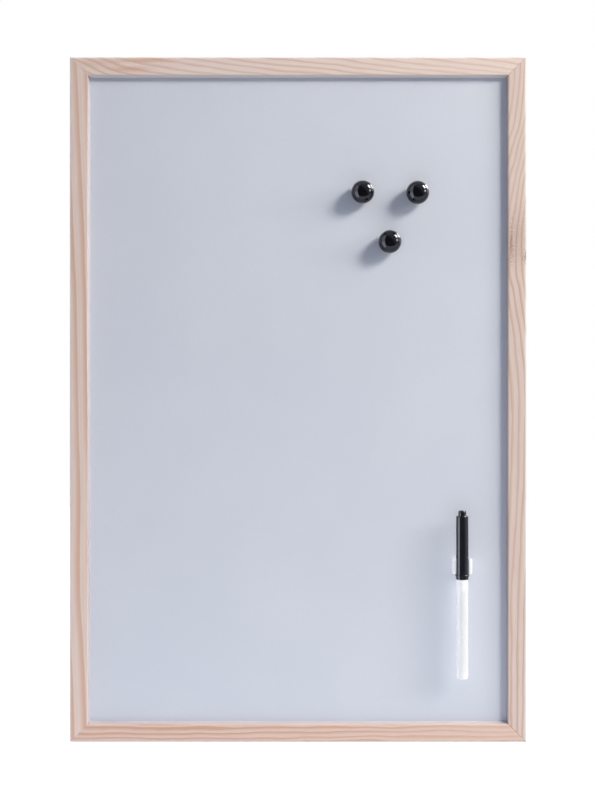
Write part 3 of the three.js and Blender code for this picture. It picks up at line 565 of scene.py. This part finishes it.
INK_FIBRE = make_fibre("ink_fibre", srgb(52, 52, 58), srgb(96, 96, 104), 2600)
INK_FELT = make_fibre("ink_felt", srgb(14, 14, 17), srgb(40, 40, 46), 4200)


# Meshes


def make_piece(name, mesh_data, material):
    """An object from a bmesh, which is used up."""
    bmesh.ops.recalc_face_normals(mesh_data, faces=mesh_data.faces)
    mesh = bpy.data.meshes.new(name)
    mesh_data.to_mesh(mesh)
    mesh_data.free()
    mesh.materials.append(material)
    piece = bpy.data.objects.new(name, mesh)
    bpy.context.scene.collection.objects.link(piece)
    shade(mesh)
    return piece


def shade(mesh):
    """Smooth shading that breaks at sharp edges."""
    mesh.shade_smooth()
    mesh.set_sharp_from_angle(angle=SHARP_ANGLE)


def soften(points, closed, steps=5):
    """Rounds the corners of an outline. A point is x, y and, where it is rounded, the setback."""
    result = []
    count = len(points)
    for i, point in enumerate(points):
        here = Vector(point[:2])
        setback = point[2] if len(point) > 2 else 0
        if not setback or (not closed and i in (0, count - 1)):
            result.append(here)
            continue
        before = Vector(points[i - 1][:2])
        after = Vector(points[(i + 1) % count][:2])
        start = here + (before - here).normalized() * setback
        end = here + (after - here).normalized() * setback
        for step in range(steps + 1):
            share = step / steps
            rest = 1 - share
            result.append(start * rest ** 2 + here * (2 * share * rest) + end * share ** 2)
    return result


def arc(centre_x, centre_y, radius, from_degrees, to_degrees, steps):
    """Points on a circle, both ends included."""
    points = []
    for i in range(steps + 1):
        angle = math.radians(from_degrees + (to_degrees - from_degrees) * i / steps)
        points.append((centre_x + radius * math.cos(angle), centre_y + radius * math.sin(angle)))
    return points


def circle(centre_x, centre_y, radius, sides, turn=0):
    """Corners of a regular polygon. The first lies turn degrees round from the right."""
    return arc(centre_x, centre_y, radius, turn, turn + 360 - 360 / sides, sides - 1)


def bridge(mesh_data, low, high):
    """Faces between two rings of corners. A ring of one corner is a pole."""
    count = max(len(low), len(high))
    for i in range(count):
        j = (i + 1) % count
        corners = [low[i % len(low)], low[j % len(low)], high[j % len(high)], high[i % len(high)]]
        unique = list(dict.fromkeys(corners))
        if len(unique) > 2:
            mesh_data.faces.new(unique)


def turned(name, profile, origin, axis, material, segments=SEGMENTS, closed=False):
    """A turned piece. The profile gives radius and distance along the axis, in millimetres."""
    turn = Vector((0, 0, 1)).rotation_difference(Vector(axis)).to_matrix()
    mesh_data = bmesh.new()
    rings = []
    for point in profile:
        radius, along = point[0] * MM, point[1] * MM
        count = 1 if radius < 1e-9 else segments
        ring = []
        for i in range(count):
            angle = 2 * math.pi * i / segments
            local = Vector((radius * math.cos(angle), radius * math.sin(angle), along))
            ring.append(mesh_data.verts.new(Vector(origin) + turn @ local))
        rings.append(ring)
    following = rings[1:] + rings[:1] if closed else rings[1:]
    for low, high in zip(rings, following):
        bridge(mesh_data, low, high)
    return make_piece(name, mesh_data, material)


def stacked(mesh_data, loops):
    """Joins loops of points of equal length, and closes both ends."""
    rings = [[mesh_data.verts.new(point) for point in loop] for loop in loops]
    for low, high in zip(rings, rings[1:]):
        bridge(mesh_data, low, high)
    mesh_data.faces.new(rings[0][::-1])
    mesh_data.faces.new(rings[-1])


def swept(name, path, radius, material):
    """A round wire along a closed path that lies in a plane of constant Y."""
    mesh_data = bmesh.new()
    level = Vector((0, 1, 0))
    count = len(path)
    rings = []
    for i, point in enumerate(path):
        forward = (path[(i + 1) % count] - path[i - 1]).normalized()
        across = forward.cross(level)
        ring = []
        for step in range(WIRE_SIDES):
            angle = 2 * math.pi * step / WIRE_SIDES
            offset = across * math.cos(angle) + level * math.sin(angle)
            ring.append(mesh_data.verts.new(point + offset * radius))
        rings.append(ring)
    for low, high in zip(rings, rings[1:] + rings[:1]):
        bridge(mesh_data, low, high)
    return make_piece(name, mesh_data, material)


def prism(mesh_data, outline, low_y, high_y):
    """A closed prism along Y over an outline in X and Z, in metres."""
    stacked(mesh_data, [[Vector((x, y, z)) for x, z in outline] for y in (low_y, high_y)])


def carve(piece, mesh_data):
    """Cuts the closed bodies in mesh_data out of a piece."""
    cutter = make_piece("cutter", mesh_data, piece.data.materials[0])
    boolean = piece.modifiers.new("carve", "BOOLEAN")
    boolean.operation = "DIFFERENCE"
    boolean.solver = "EXACT"
    boolean.object = cutter
    graph = bpy.context.evaluated_depsgraph_get()
    carved = bpy.data.meshes.new_from_object(piece.evaluated_get(graph))
    piece.modifiers.clear()
    piece.data = carved
    bpy.data.objects.remove(cutter)
    shade(carved)


def dress(piece, body, nodes):
    """Puts a piece on its body in place of CAD nodes."""
    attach(piece, body)
    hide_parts(*nodes)


# Frame rails. A rail is made along X with its outer edge at Z = 0 and its inner edge below, and is
# turned into place. For each: its side of the board, its turn in degrees, and its ends' corners.

RAIL_PLACES = {
    "top": (0, 1, 0, ("top_left", "top_right")),
    "bottom": (0, -1, 180, ("bottom_right", "bottom_left")),
    "left": (-1, 0, -90, ("bottom_left", "top_left")),
    "right": (1, 0, 90, ("top_right", "bottom_right")),
}


def rail_section():
    """Points of a rail's section: inward from the outer edge, and from the front to the wall."""
    back_face = RAIL_FACE - REBATE_WIDTH
    points = [(0, y) for y in SIDE_POINTS]
    points += arc(OUTER_ROUND, OUTER_ROUND - RAIL_DEPTH, OUTER_ROUND, 180, 270, 12)
    points += [(inward, -RAIL_DEPTH) for inward in FACE_POINTS]
    points += arc(RAIL_FACE - INNER_ROUND, INNER_ROUND - RAIL_DEPTH, INNER_ROUND, 270, 360, 5)
    points += soften([
        (RAIL_FACE + LIP_SLOPE, SHEET_FRONT, 0.2),
        (back_face, SHEET_FRONT),
        (back_face, REBATE_MIDDLE),
        (back_face, 0, 0.35),
        (back_face / 2, 0),
        (BACK_ROUND, 0),
        (0, -BACK_ROUND),
    ], closed=False, steps=2)
    return [Vector(point) for point in points]


def planed(inward, y, along, seed):
    """A section point moved into the wood by the small waves that planing and sanding leave."""
    long_wave = noise.noise(Vector((along / 42, inward / 9, seed)))
    short_wave = noise.noise(Vector((along / 13, y / 5, seed + 7)))
    depth = PLANING_WAVE * (0.5 + 0.5 * (long_wave * 0.6 + short_wave * 0.4))
    front = 1 if y < SHEET_FRONT - 1 else 0
    outer = 1 if inward < OUTER_ROUND else 0
    return inward + outer * depth, y + front * depth


def make_rail(side):
    """A planed rail with mitred ends, cut for the pieces that sit in it."""
    right, up, degrees, corners = RAIL_PLACES[side]
    length = RAIL_SPAN[side]
    section = rail_section()
    seed = GRAIN[side]["seed"]
    trims = [MITRE_GAPS[corner] * math.sqrt(0.5) for corner in corners]
    turn = Matrix.Rotation(math.radians(degrees), 3, "Y")
    origin = Vector((right * BOARD_WIDTH / 2, 0, BOARD_MIDDLE_Z + up * BOARD_HEIGHT / 2))
    steps = round(length / STATION_STEP)
    loops = []
    for station in range(steps + 1):
        share = station / steps
        loop = []
        for point in section:
            start, end = (length / 2 - point.x - trim for trim in trims)
            along = (start + end) * share - start
            inward, y = planed(point.x, point.y, along, seed)
            loop.append((origin + turn @ Vector((along, y, -inward))) * MM)
        loops.append(loop)
    mesh_data = bmesh.new()
    stacked(mesh_data, loops)
    rail = make_piece("rail_" + side, mesh_data, PINE[side])
    cut_slots(rail, side)
    dress(rail, "board", ["frame_" + side])


def box_outline(low, high, play):
    """A box seen from the back, in X and Z, grown by the play."""
    return [(low.x - play, low.z - play), (high.x + play, low.z - play),
            (high.x + play, high.z + play), (low.x - play, high.z + play)]


def nail_outline(low, high, right, up, play):
    """The two legs of a V nail, from its elbow towards the board's outer corner."""
    near_x, far_x = (low.x, high.x) if right > 0 else (high.x, low.x)
    near_z, far_z = (low.z, high.z) if up > 0 else (high.z, low.z)
    thick = NAIL_THICKNESS * MM + play
    return [
        (near_x - right * play, near_z - up * play),
        (far_x + right * play, near_z - up * play),
        (far_x + right * play, near_z + up * thick),
        (near_x + right * thick, near_z + up * thick),
        (near_x + right * thick, far_z + up * play),
        (near_x - right * play, far_z + up * play),
    ]


def cut_slots(rail, side):
    """Cuts the slots for the framer's points and V nails, and the hole for a hanger's screw."""
    play = SLOT_PLAY * MM
    reach = CUTTER_REACH * MM
    cutters = bmesh.new()
    for name in frame["nodes"]:
        low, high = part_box(name)
        if name.startswith(f"framers_point_{side}"):
            prism(cutters, box_outline(low, high, play), low.y - play, high.y + play)
        if name.startswith("v_nail_") and side in name:
            right = 1 if "right" in name else -1
            up = 1 if "top" in name else -1
            prism(cutters, nail_outline(low, high, right, up, play), low.y - play, reach)
        if name == f"hanger_screw_{side}":
            middle = (low + high) / 2
            # turned by half a side, so that no corner lies on the rail's middle line
            outline = circle(middle.x, middle.z, SCREW_HOLE_RADIUS * MM, SCREW_HOLE_SIDES,
                             180 / SCREW_HOLE_SIDES)
            prism(cutters, outline, low.y - play, reach)
    carve(rail, cutters)


# Ball magnets, in millimetres

BALL_RADIUS = 10
BALL_FOOT_RADIUS = 5.2
BALL_SEGMENTS = 96
POCKET_RADIUS = 4.1
POCKET_DEPTH = 3.3
POCKET_EASE = 0.12        # chamfer of the pocket's edge
DISC_RADIUS = 4
DISC_THICKNESS = 3        # of the discs in the balls and in the clip
DISC_EASE = 0.3
DISC_INSET = 0.2          # from the ball's foot


def ball_profile():
    """Half section of a ball: from the pole, round to the foot, and into the magnet's pocket."""
    centre = math.sqrt(BALL_RADIUS ** 2 - BALL_FOOT_RADIUS ** 2)
    foot_angle = math.degrees(math.asin(centre / BALL_RADIUS))
    points = [(r, along + centre) for r, along in arc(0, 0, BALL_RADIUS, 90, 2 - foot_angle, 44)]
    points[0] = (0, centre + BALL_RADIUS)
    points += [(BALL_FOOT_RADIUS - 0.12, 0.03), (BALL_FOOT_RADIUS - 0.35, 0)]
    points += [(POCKET_RADIUS + POCKET_EASE, 0), (POCKET_RADIUS, POCKET_EASE)]
    points += [(POCKET_RADIUS, POCKET_DEPTH), (0, POCKET_DEPTH)]
    return points


def disc_profile(radius):
    """Half section of a disc magnet with eased edges."""
    points = [(0, 0), (radius, 0, DISC_EASE), (radius, DISC_THICKNESS, DISC_EASE), (0, DISC_THICKNESS)]
    return soften(points, closed=False)


def make_ball_magnet(number):
    """A ball on its flat foot, with the disc magnet in it."""
    low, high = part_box(f"magnet_ball_{number}")
    forward = Vector((0, -1, 0))
    foot = Vector(((low.x + high.x) / 2, high.y, (low.z + high.z) / 2))
    ball = turned(f"ball_{number}", ball_profile(), foot, forward, BALL_BLACK, BALL_SEGMENTS)
    dress(ball, f"magnet_{number}", [f"magnet_ball_{number}"])
    disc_place = foot + forward * DISC_INSET * MM
    disc = turned(f"ball_disc_{number}", disc_profile(DISC_RADIUS), disc_place, forward, NICKEL)
    dress(disc, f"magnet_{number}", [f"magnet_disc_{number}"])


# Pen clip, in millimetres

CLIP_REACH = 13.2         # from the sheet
CLIP_HALF = 8.7           # half width at the arms, and below at the foot
CLIP_FOOT_HALF = 7
CLIP_HALF_HEIGHT = 6.65
CLIP_FOOT_HALF_HEIGHT = 5.5
CLIP_SHOULDER = 2.5       # round of the arms' outer corners
CLIP_ROUND = 0.45         # of its upper and lower edges
CLIP_ROUND_STEPS = 6
CLIP_POCKET_PLAY = 0.1    # round the magnet
CLIP_POCKET_SIDES = 48
CHANNEL_RADIUS = 5.65
CHANNEL_AXIS = 11.5       # in front of the sheet
CHANNEL_LIP = 0.3         # how far the channel's lips lie behind the clip's front
CHANNEL_LIP_SINE = 0.3    # how far in front of the axis its lips end, in radii


def clip_outline():
    """Section of the clip from above, in X and Y from the sheet: a block with a round channel."""
    lip_x = CHANNEL_RADIUS * math.cos(math.asin(CHANNEL_LIP_SINE))
    widening = CLIP_HALF - CLIP_FOOT_HALF
    right = [(CLIP_FOOT_HALF - 0.5, 0), (CLIP_FOOT_HALF, -0.5)]
    for share in (0.3, 0.6):
        right.append((CLIP_FOOT_HALF + widening * share, -(CLIP_REACH - CLIP_SHOULDER) * share))
    right += arc(CLIP_HALF - CLIP_SHOULDER, CLIP_SHOULDER - CLIP_REACH, CLIP_SHOULDER, 0, -90, 8)
    right += [(lip_x + 0.12, 0.08 - CLIP_REACH), (lip_x, CHANNEL_LIP - CLIP_REACH)]
    left = [(-x, y) for x, y in reversed(right)]
    return right + arc(0, -CHANNEL_AXIS, CHANNEL_RADIUS, -12, 192, 44) + left


def inset(outline, distance):
    """Moves each point of an outline, drawn clockwise, into the material."""
    result = []
    count = len(outline)
    for i, point in enumerate(outline):
        before = Vector(point) - Vector(outline[i - 1])
        after = Vector(outline[(i + 1) % count]) - Vector(point)
        along = (before.normalized() + after.normalized()).normalized()
        result.append(Vector(point) + Vector((along.y, -along.x)) * distance)
    return result


def clip_levels():
    """Share of the height, from -1 to 1, and how far the outline is drawn in there."""
    levels = []
    for step in range(CLIP_ROUND_STEPS + 1):
        angle = math.pi / 2 * step / CLIP_ROUND_STEPS
        rise = CLIP_ROUND * (1 - math.cos(angle)) / CLIP_HALF_HEIGHT
        levels.append((1 - rise, CLIP_ROUND * (1 - math.sin(angle))))
    return [(-share, pull) for share, pull in levels] + levels[::-1]


def make_clip():
    """The clip's block, which grows from the foot to the arms, and the magnet in its pocket."""
    low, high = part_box("pen_clip_body")
    middle = (low.z + high.z) / 2
    origin = Vector(((low.x + high.x) / 2, high.y, middle))
    outline = clip_outline()
    growth = CLIP_HALF_HEIGHT - CLIP_FOOT_HALF_HEIGHT
    loops = []
    for share, pull in clip_levels():
        loop = []
        for x, y in inset(outline, pull):
            half_height = CLIP_FOOT_HALF_HEIGHT - y / CLIP_REACH * growth
            loop.append(origin + Vector((x, y, share * half_height)) * MM)
        loops.append(loop)
    mesh_data = bmesh.new()
    stacked(mesh_data, loops)
    clip = make_piece("clip", mesh_data, CLIP_WHITE)
    magnet_low, magnet_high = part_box("pen_clip_magnet")
    radius = (magnet_high.x - magnet_low.x) / 2
    play = CLIP_POCKET_PLAY * MM
    pocket = bmesh.new()
    prism(pocket, circle(origin.x, middle, radius + play, CLIP_POCKET_SIDES), magnet_low.y - play,
          high.y + CUTTER_REACH * MM)
    carve(clip, pocket)
    dress(clip, "pen_clip", ["pen_clip_body"])
    magnet_place = Vector((origin.x, magnet_high.y, middle))
    magnet = turned("clip_magnet", disc_profile(radius / MM), magnet_place, (0, -1, 0), NICKEL)
    dress(magnet, "pen_clip", ["pen_clip_magnet"])


# Pen. For each node: body, slot, material, whether its outline closes on itself, and the outline,
# in millimetres from the axis and above the end plug's bottom

PEN_PROFILES = {
    "pen_barrel": ("pen", "white_plastic", PEN_WHITE, True, [
        (4.2, 1), (5.2, 1, 0.35), (5.2, 20), (5.2, 43), (5.2, 64), (5.2, 85, 0.12), (4.2, 85),
    ]),
    "pen_end_plug": ("pen", "white_plastic", PEN_WHITE, False, [
        (0, 0.4), (2.2, 0.36, 0.5), (3.5, 0, 0.3), (4.95, 0, 0.4), (4.95, 1, 0.08), (4.1, 1),
        (4.1, 5.65, 0.2), (3.75, 6), (0, 6),
    ]),
    "pen_reservoir": ("pen", "ink_fibre", INK_FIBRE, False, [
        (0, 6.3), (3.6, 6.3, 0.3), (3.6, 76.7, 0.3), (2.1, 76.7), (2.1, 70.6), (0, 70.6),
    ]),
    "pen_section": ("pen", "white_plastic", PEN_WHITE, True, [
        (2.1, 77), (3.75, 77), (4.1, 77.35), (4.1, 85), (5.2, 85, 0.1), (5.2, 86.1, 0.35),
        (4.45, 86.1), (4.45, 91.1, 0.3), (4.57, 91.6, 0.3), (4.45, 92.1, 0.3), (4.45, 97.1, 0.5),
        (3.95, 97.4, 0.2), (3, 103.1, 1.2), (3, 107.1, 0.4), (2.1, 107.1),
    ]),
    "pen_nib": ("pen", "ink_felt", INK_FELT, False, [
        (0, 70.7), (2, 70.7), (2, 110.1, 0.6), (1.7, 111.3, 0.6), (0.9, 112, 0.4), (0, 112.1),
    ]),
    "pen_cap": ("cap", "black_plastic", CAP_BLACK, True, [
        (4.65, 86.2, 0.15), (5.5, 86.2, 0.35), (5.5, 88.5, 0.1), (5.95, 88.5, 0.6), (5.95, 90.4, 0.6),
        (5.5, 90.4, 0.12), (5.42, 105), (5.34, 122), (5.25, 141.2, 0.6), (3.4, 141.2, 0.35),
        (3.4, 146, 1.7), (0.9, 146), (0, 145.9), (0, 139.2), (3.55, 139.2, 0.5), (4.4, 138.35),
    ]),
}


def make_pen():
    """The capped pen, turned about the barrel's axis."""
    barrel_low, barrel_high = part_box("pen_barrel")
    plug_low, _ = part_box("pen_end_plug")
    middle = (barrel_low + barrel_high) / 2
    foot = Vector((middle.x, middle.y, plug_low.z))
    for node, (body, slot, material, closed, points) in PEN_PROFILES.items():
        outline = soften(points, closed, steps=4)
        piece = turned(node + "_turned", outline, foot, (0, 0, 1), material, closed=closed)
        dress(piece, body, [node])


# Hangers, in millimetres

RING_WIRE = 1.6
RING_CORNER = 1.4         # radius of the corners at the bar's ends


def make_hanger_ring(hand):
    """The wire D-ring: a straight bar, two tight corners and a round end."""
    low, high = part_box(f"hanger_ring_{hand}")
    wire = RING_WIRE * MM
    half = (high.x - low.x - wire) / 2
    middle_x = (low.x + high.x) / 2
    top, bottom = high.z - wire / 2, low.z + wire / 2
    corner = RING_CORNER * MM
    outline = arc(half - corner, top - corner, corner, 90, 0, 7)
    outline += arc(0, bottom + half, half, 0, -180, 30)
    outline += arc(corner - half, top - corner, corner, 180, 90, 7)
    outline += [(-half + corner + (half - corner) * 2 * i / 8, top) for i in range(1, 8)]
    y = (low.y + high.y) / 2
    path = [Vector((middle_x + x, y, z)) for x, z in outline]
    ring = swept(f"hanger_wire_{hand}", path, wire / 2, ZINC)
    dress(ring, f"hanger_ring_{hand}", [f"hanger_ring_{hand}"])


# CAD nodes that stay, with their materials


def dress_cad_nodes():
    """Enamel, hardboard and zinc on the CAD's own solids."""
    kept = {"writing_sheet": ENAMEL, "backing_board": HARDBOARD}
    for name in frame["nodes"]:
        if name.startswith(("v_nail_", "framers_point_", "hanger_strap_", "hanger_screw_")):
            kept[name] = ZINC
    for name, material in kept.items():
        mesh = frame["nodes"][name].data
        mesh.materials.clear()
        mesh.materials.append(material)


# Studio


def make_camera():
    data = bpy.data.cameras.new("camera")
    data.lens = CAMERA_LENS
    data.clip_start = 0.05
    data.clip_end = 60
    camera = bpy.data.objects.new("camera", data)
    camera.location = CAMERA_PLACE
    camera.rotation_euler = (math.pi / 2, 0, 0)
    bpy.context.scene.collection.objects.link(camera)
    bpy.context.scene.camera = camera


def add_light(name, settings):
    """An area light that faces its target, with a rectangle's long side along the long axis."""
    data = bpy.data.lights.new(name, "AREA")
    data.energy = settings.power
    data.color = settings.colour
    light = bpy.data.objects.new(name, data)
    place = Vector(settings.place)
    back = (place - Vector(settings.target)).normalized()
    if settings.long_axis is None:
        data.shape = "DISK"
        data.size = settings.size
        turn = (-back).to_track_quat("-Z", "Y").to_matrix()
    else:
        data.shape = "RECTANGLE"
        data.size, data.size_y = settings.size
        long_axis = Vector(settings.long_axis)
        along = (long_axis - back * long_axis.dot(back)).normalized()
        turn = Matrix((along, back.cross(along), back)).transposed()
    light.matrix_world = Matrix.Translation(place) @ turn.to_4x4()
    light.visible_camera = False
    light.visible_glossy = name not in NOT_IN_GLOSS
    light.visible_diffuse = name not in ONLY_IN_GLOSS
    bpy.context.scene.collection.objects.link(light)
    return light


def link(light, kind, pieces, state):
    """Limits what a light falls on, or what casts its shadow, to some pieces or all others."""
    group = bpy.data.collections.new(f"{light.name}_{kind}")
    for piece in pieces:
        group.objects.link(piece)
    for member in group.collection_objects:
        member.light_linking.link_state = state
    setattr(light.light_linking, kind + "_collection", group)


def light_groups():
    """The pieces that lights reach or miss, by group."""
    pieces = bpy.context.scene.objects
    clip = pieces["clip"]
    blacks = [pieces[f"ball_{number}"] for number in MAGNETS] + [pieces["pen_cap_turned"]]
    pen = [pieces[node + "_turned"] for node in PEN_PROFILES] + [clip, pieces["clip_magnet"]]
    whites = [piece for piece in pen if piece not in blacks]
    return {
        "blacks": blacks,
        "pen": pen,
        "pen_whites": [piece for piece in whites if piece is not clip],
        "glossy": blacks + whites,
        "side_rails": [pieces["rail_right"], pieces["rail_left"]],
        "left_rail_and_clip": [pieces["rail_left"], clip],
        "sheet": [frame["nodes"]["writing_sheet"]],
    }


def make_lights():
    """Keys from the right, a bounce from below, fills from the left, and gleams for the gloss."""
    lights = {name: add_light(name, settings) for name, settings in LIGHTS.items()}
    groups = light_groups()
    for name, group in NO_SHADOW.items():
        link(lights[name], "blocker", groups[group], "EXCLUDE")
    for name, group in MISSES.items():
        link(lights[name], "receiver", groups[group], "EXCLUDE")
    for name, group in FALLS_ON.items():
        link(lights[name], "receiver", groups[group], "INCLUDE")


def room_fill(shader, x, z, behind, wall):
    """Soft light for matt surfaces: cool from the front, and mostly from the left behind."""
    front = shader.scaled(FRONT_FILL, shader.fit(x, -1, 1, 1.3, 0.7, smooth=False))
    sideways = shader.fit(x, -1, 1, 2.3, 0.25, smooth=False)
    upward = shader.fit(z, -1, 1, 0.75, 1.3, smooth=False)
    share = shader.times(sideways, upward)
    share = shader.times(share, shader.fit(wall, 0, 1, 1, 0.4, smooth=False))
    return shader.mix(behind, front, shader.scaled(BACK_FILL, share))


def front_cards(shader, x, y, z):
    """The cards that gloss shows: bright at the left and below, and faint at the upper right."""
    ahead = shader.times(y, -1)
    left = shader.math("SUBTRACT", shader.times(x, -1), shader.times(ahead, LEFT_CARD_SLOPE))
    left = shader.times(shader.fit(left, 0, 0.05), LEFT_CARD_LEVEL)
    below = shader.math("SUBTRACT", shader.times(z, -1), shader.times(ahead, LOWER_CARD_SLOPE))
    below = shader.times(shader.fit(below, 0, 0.08), LOWER_CARD_LEVEL)
    above = shader.math("SUBTRACT", shader.plus(shader.times(x, 0.6), shader.times(z, 0.6)),
                        shader.times(ahead, 0.35))
    cards = shader.math("MAXIMUM", left, below)
    cards = shader.math("MAXIMUM", cards, shader.fit(above, -0.1, 0.35, 0.13, 0.65))
    return shader.times(cards, shader.fit(y, 0.1, 0.6, 1, 0))


def make_world():
    """White behind everything. Fill light comes from a soft room, and gloss shows its cards."""
    world = bpy.data.worlds.new("studio")
    world.cycles.sampling_method = "NONE"
    bpy.context.scene.world = world
    shader = Shader(world)
    x, y, z = shader.parts(shader.add("TexCoord", output="Generated"))
    behind = shader.fit(y, -0.45, 0.15)
    wall = shader.fit(y, 0.3, 0.9)
    fill = room_fill(shader, x, z, behind, wall)
    room = shader.times(shader.fit(wall, 0, 1, 1, 0.5), shader.fit(z, -0.7, 0.7, 0.75, 1.2))
    gleam = shader.math("MAXIMUM", front_cards(shader, x, y, z), shader.times(behind, room))
    blue = shader.times(gleam, shader.fit(wall, 0, 1, 1.32, 1.06))
    cards = shader.vector(gleam, shader.times(gleam, 1.03), blue)

    path = shader.add("LightPath").node.outputs
    colour = shader.mix(path["Is Glossy Ray"], fill, cards)
    colour = shader.mix(path["Is Transmission Ray"], colour, (1, 1, 1, 1))
    colour = shader.mix(path["Is Camera Ray"], colour, (1, 1, 1, 1))
    shader.add_output(shader.add("Background", {"Color": colour, "Strength": 1}), "OutputWorld")


def make_floor():
    """A plain pale floor below the board, white to the camera where no shadow falls on it."""
    mesh_data = bmesh.new()
    half = FLOOR_HALF
    corners = [(-half, -half), (half, -half), (half, half), (-half, half)]
    mesh_data.faces.new([mesh_data.verts.new((x, y, FLOOR_Z)) for x, y in corners])
    shader = new_shader("floor_paper")
    paper = shader.noise(shader.place(), 40, 3)
    colour = shader.mix(shader.fit(paper, 0.3, 0.7), (0.9, 0.9, 0.9, 1), (0.92, 0.92, 0.92, 1))
    seen = shader.add("LightPath", output="Is Camera Ray")
    colour = shader.mix(seen, (0.3, 0.3, 0.3, 1), colour)
    matt = shader.add("BsdfDiffuse", {"Color": colour})
    glow = shader.add("Emission", {"Color": (1, 1, 1, 1), "Strength": shader.times(seen, FLOOR_GLOW)})
    shader.add_output(shader.add("AddShader", {0: matt, 1: glow}))
    floor = make_piece("floor", mesh_data, shader.owner)
    floor.visible_glossy = False


for rail_side in RAIL_PLACES:
    make_rail(rail_side)
for magnet_number in MAGNETS:
    make_ball_magnet(magnet_number)
make_clip()
make_pen()
for ring_hand in HANDS:
    make_hanger_ring(ring_hand)
dress_cad_nodes()
make_camera()
make_lights()
make_world()
make_floor()

bpy.context.scene.view_settings.view_transform = "Standard"
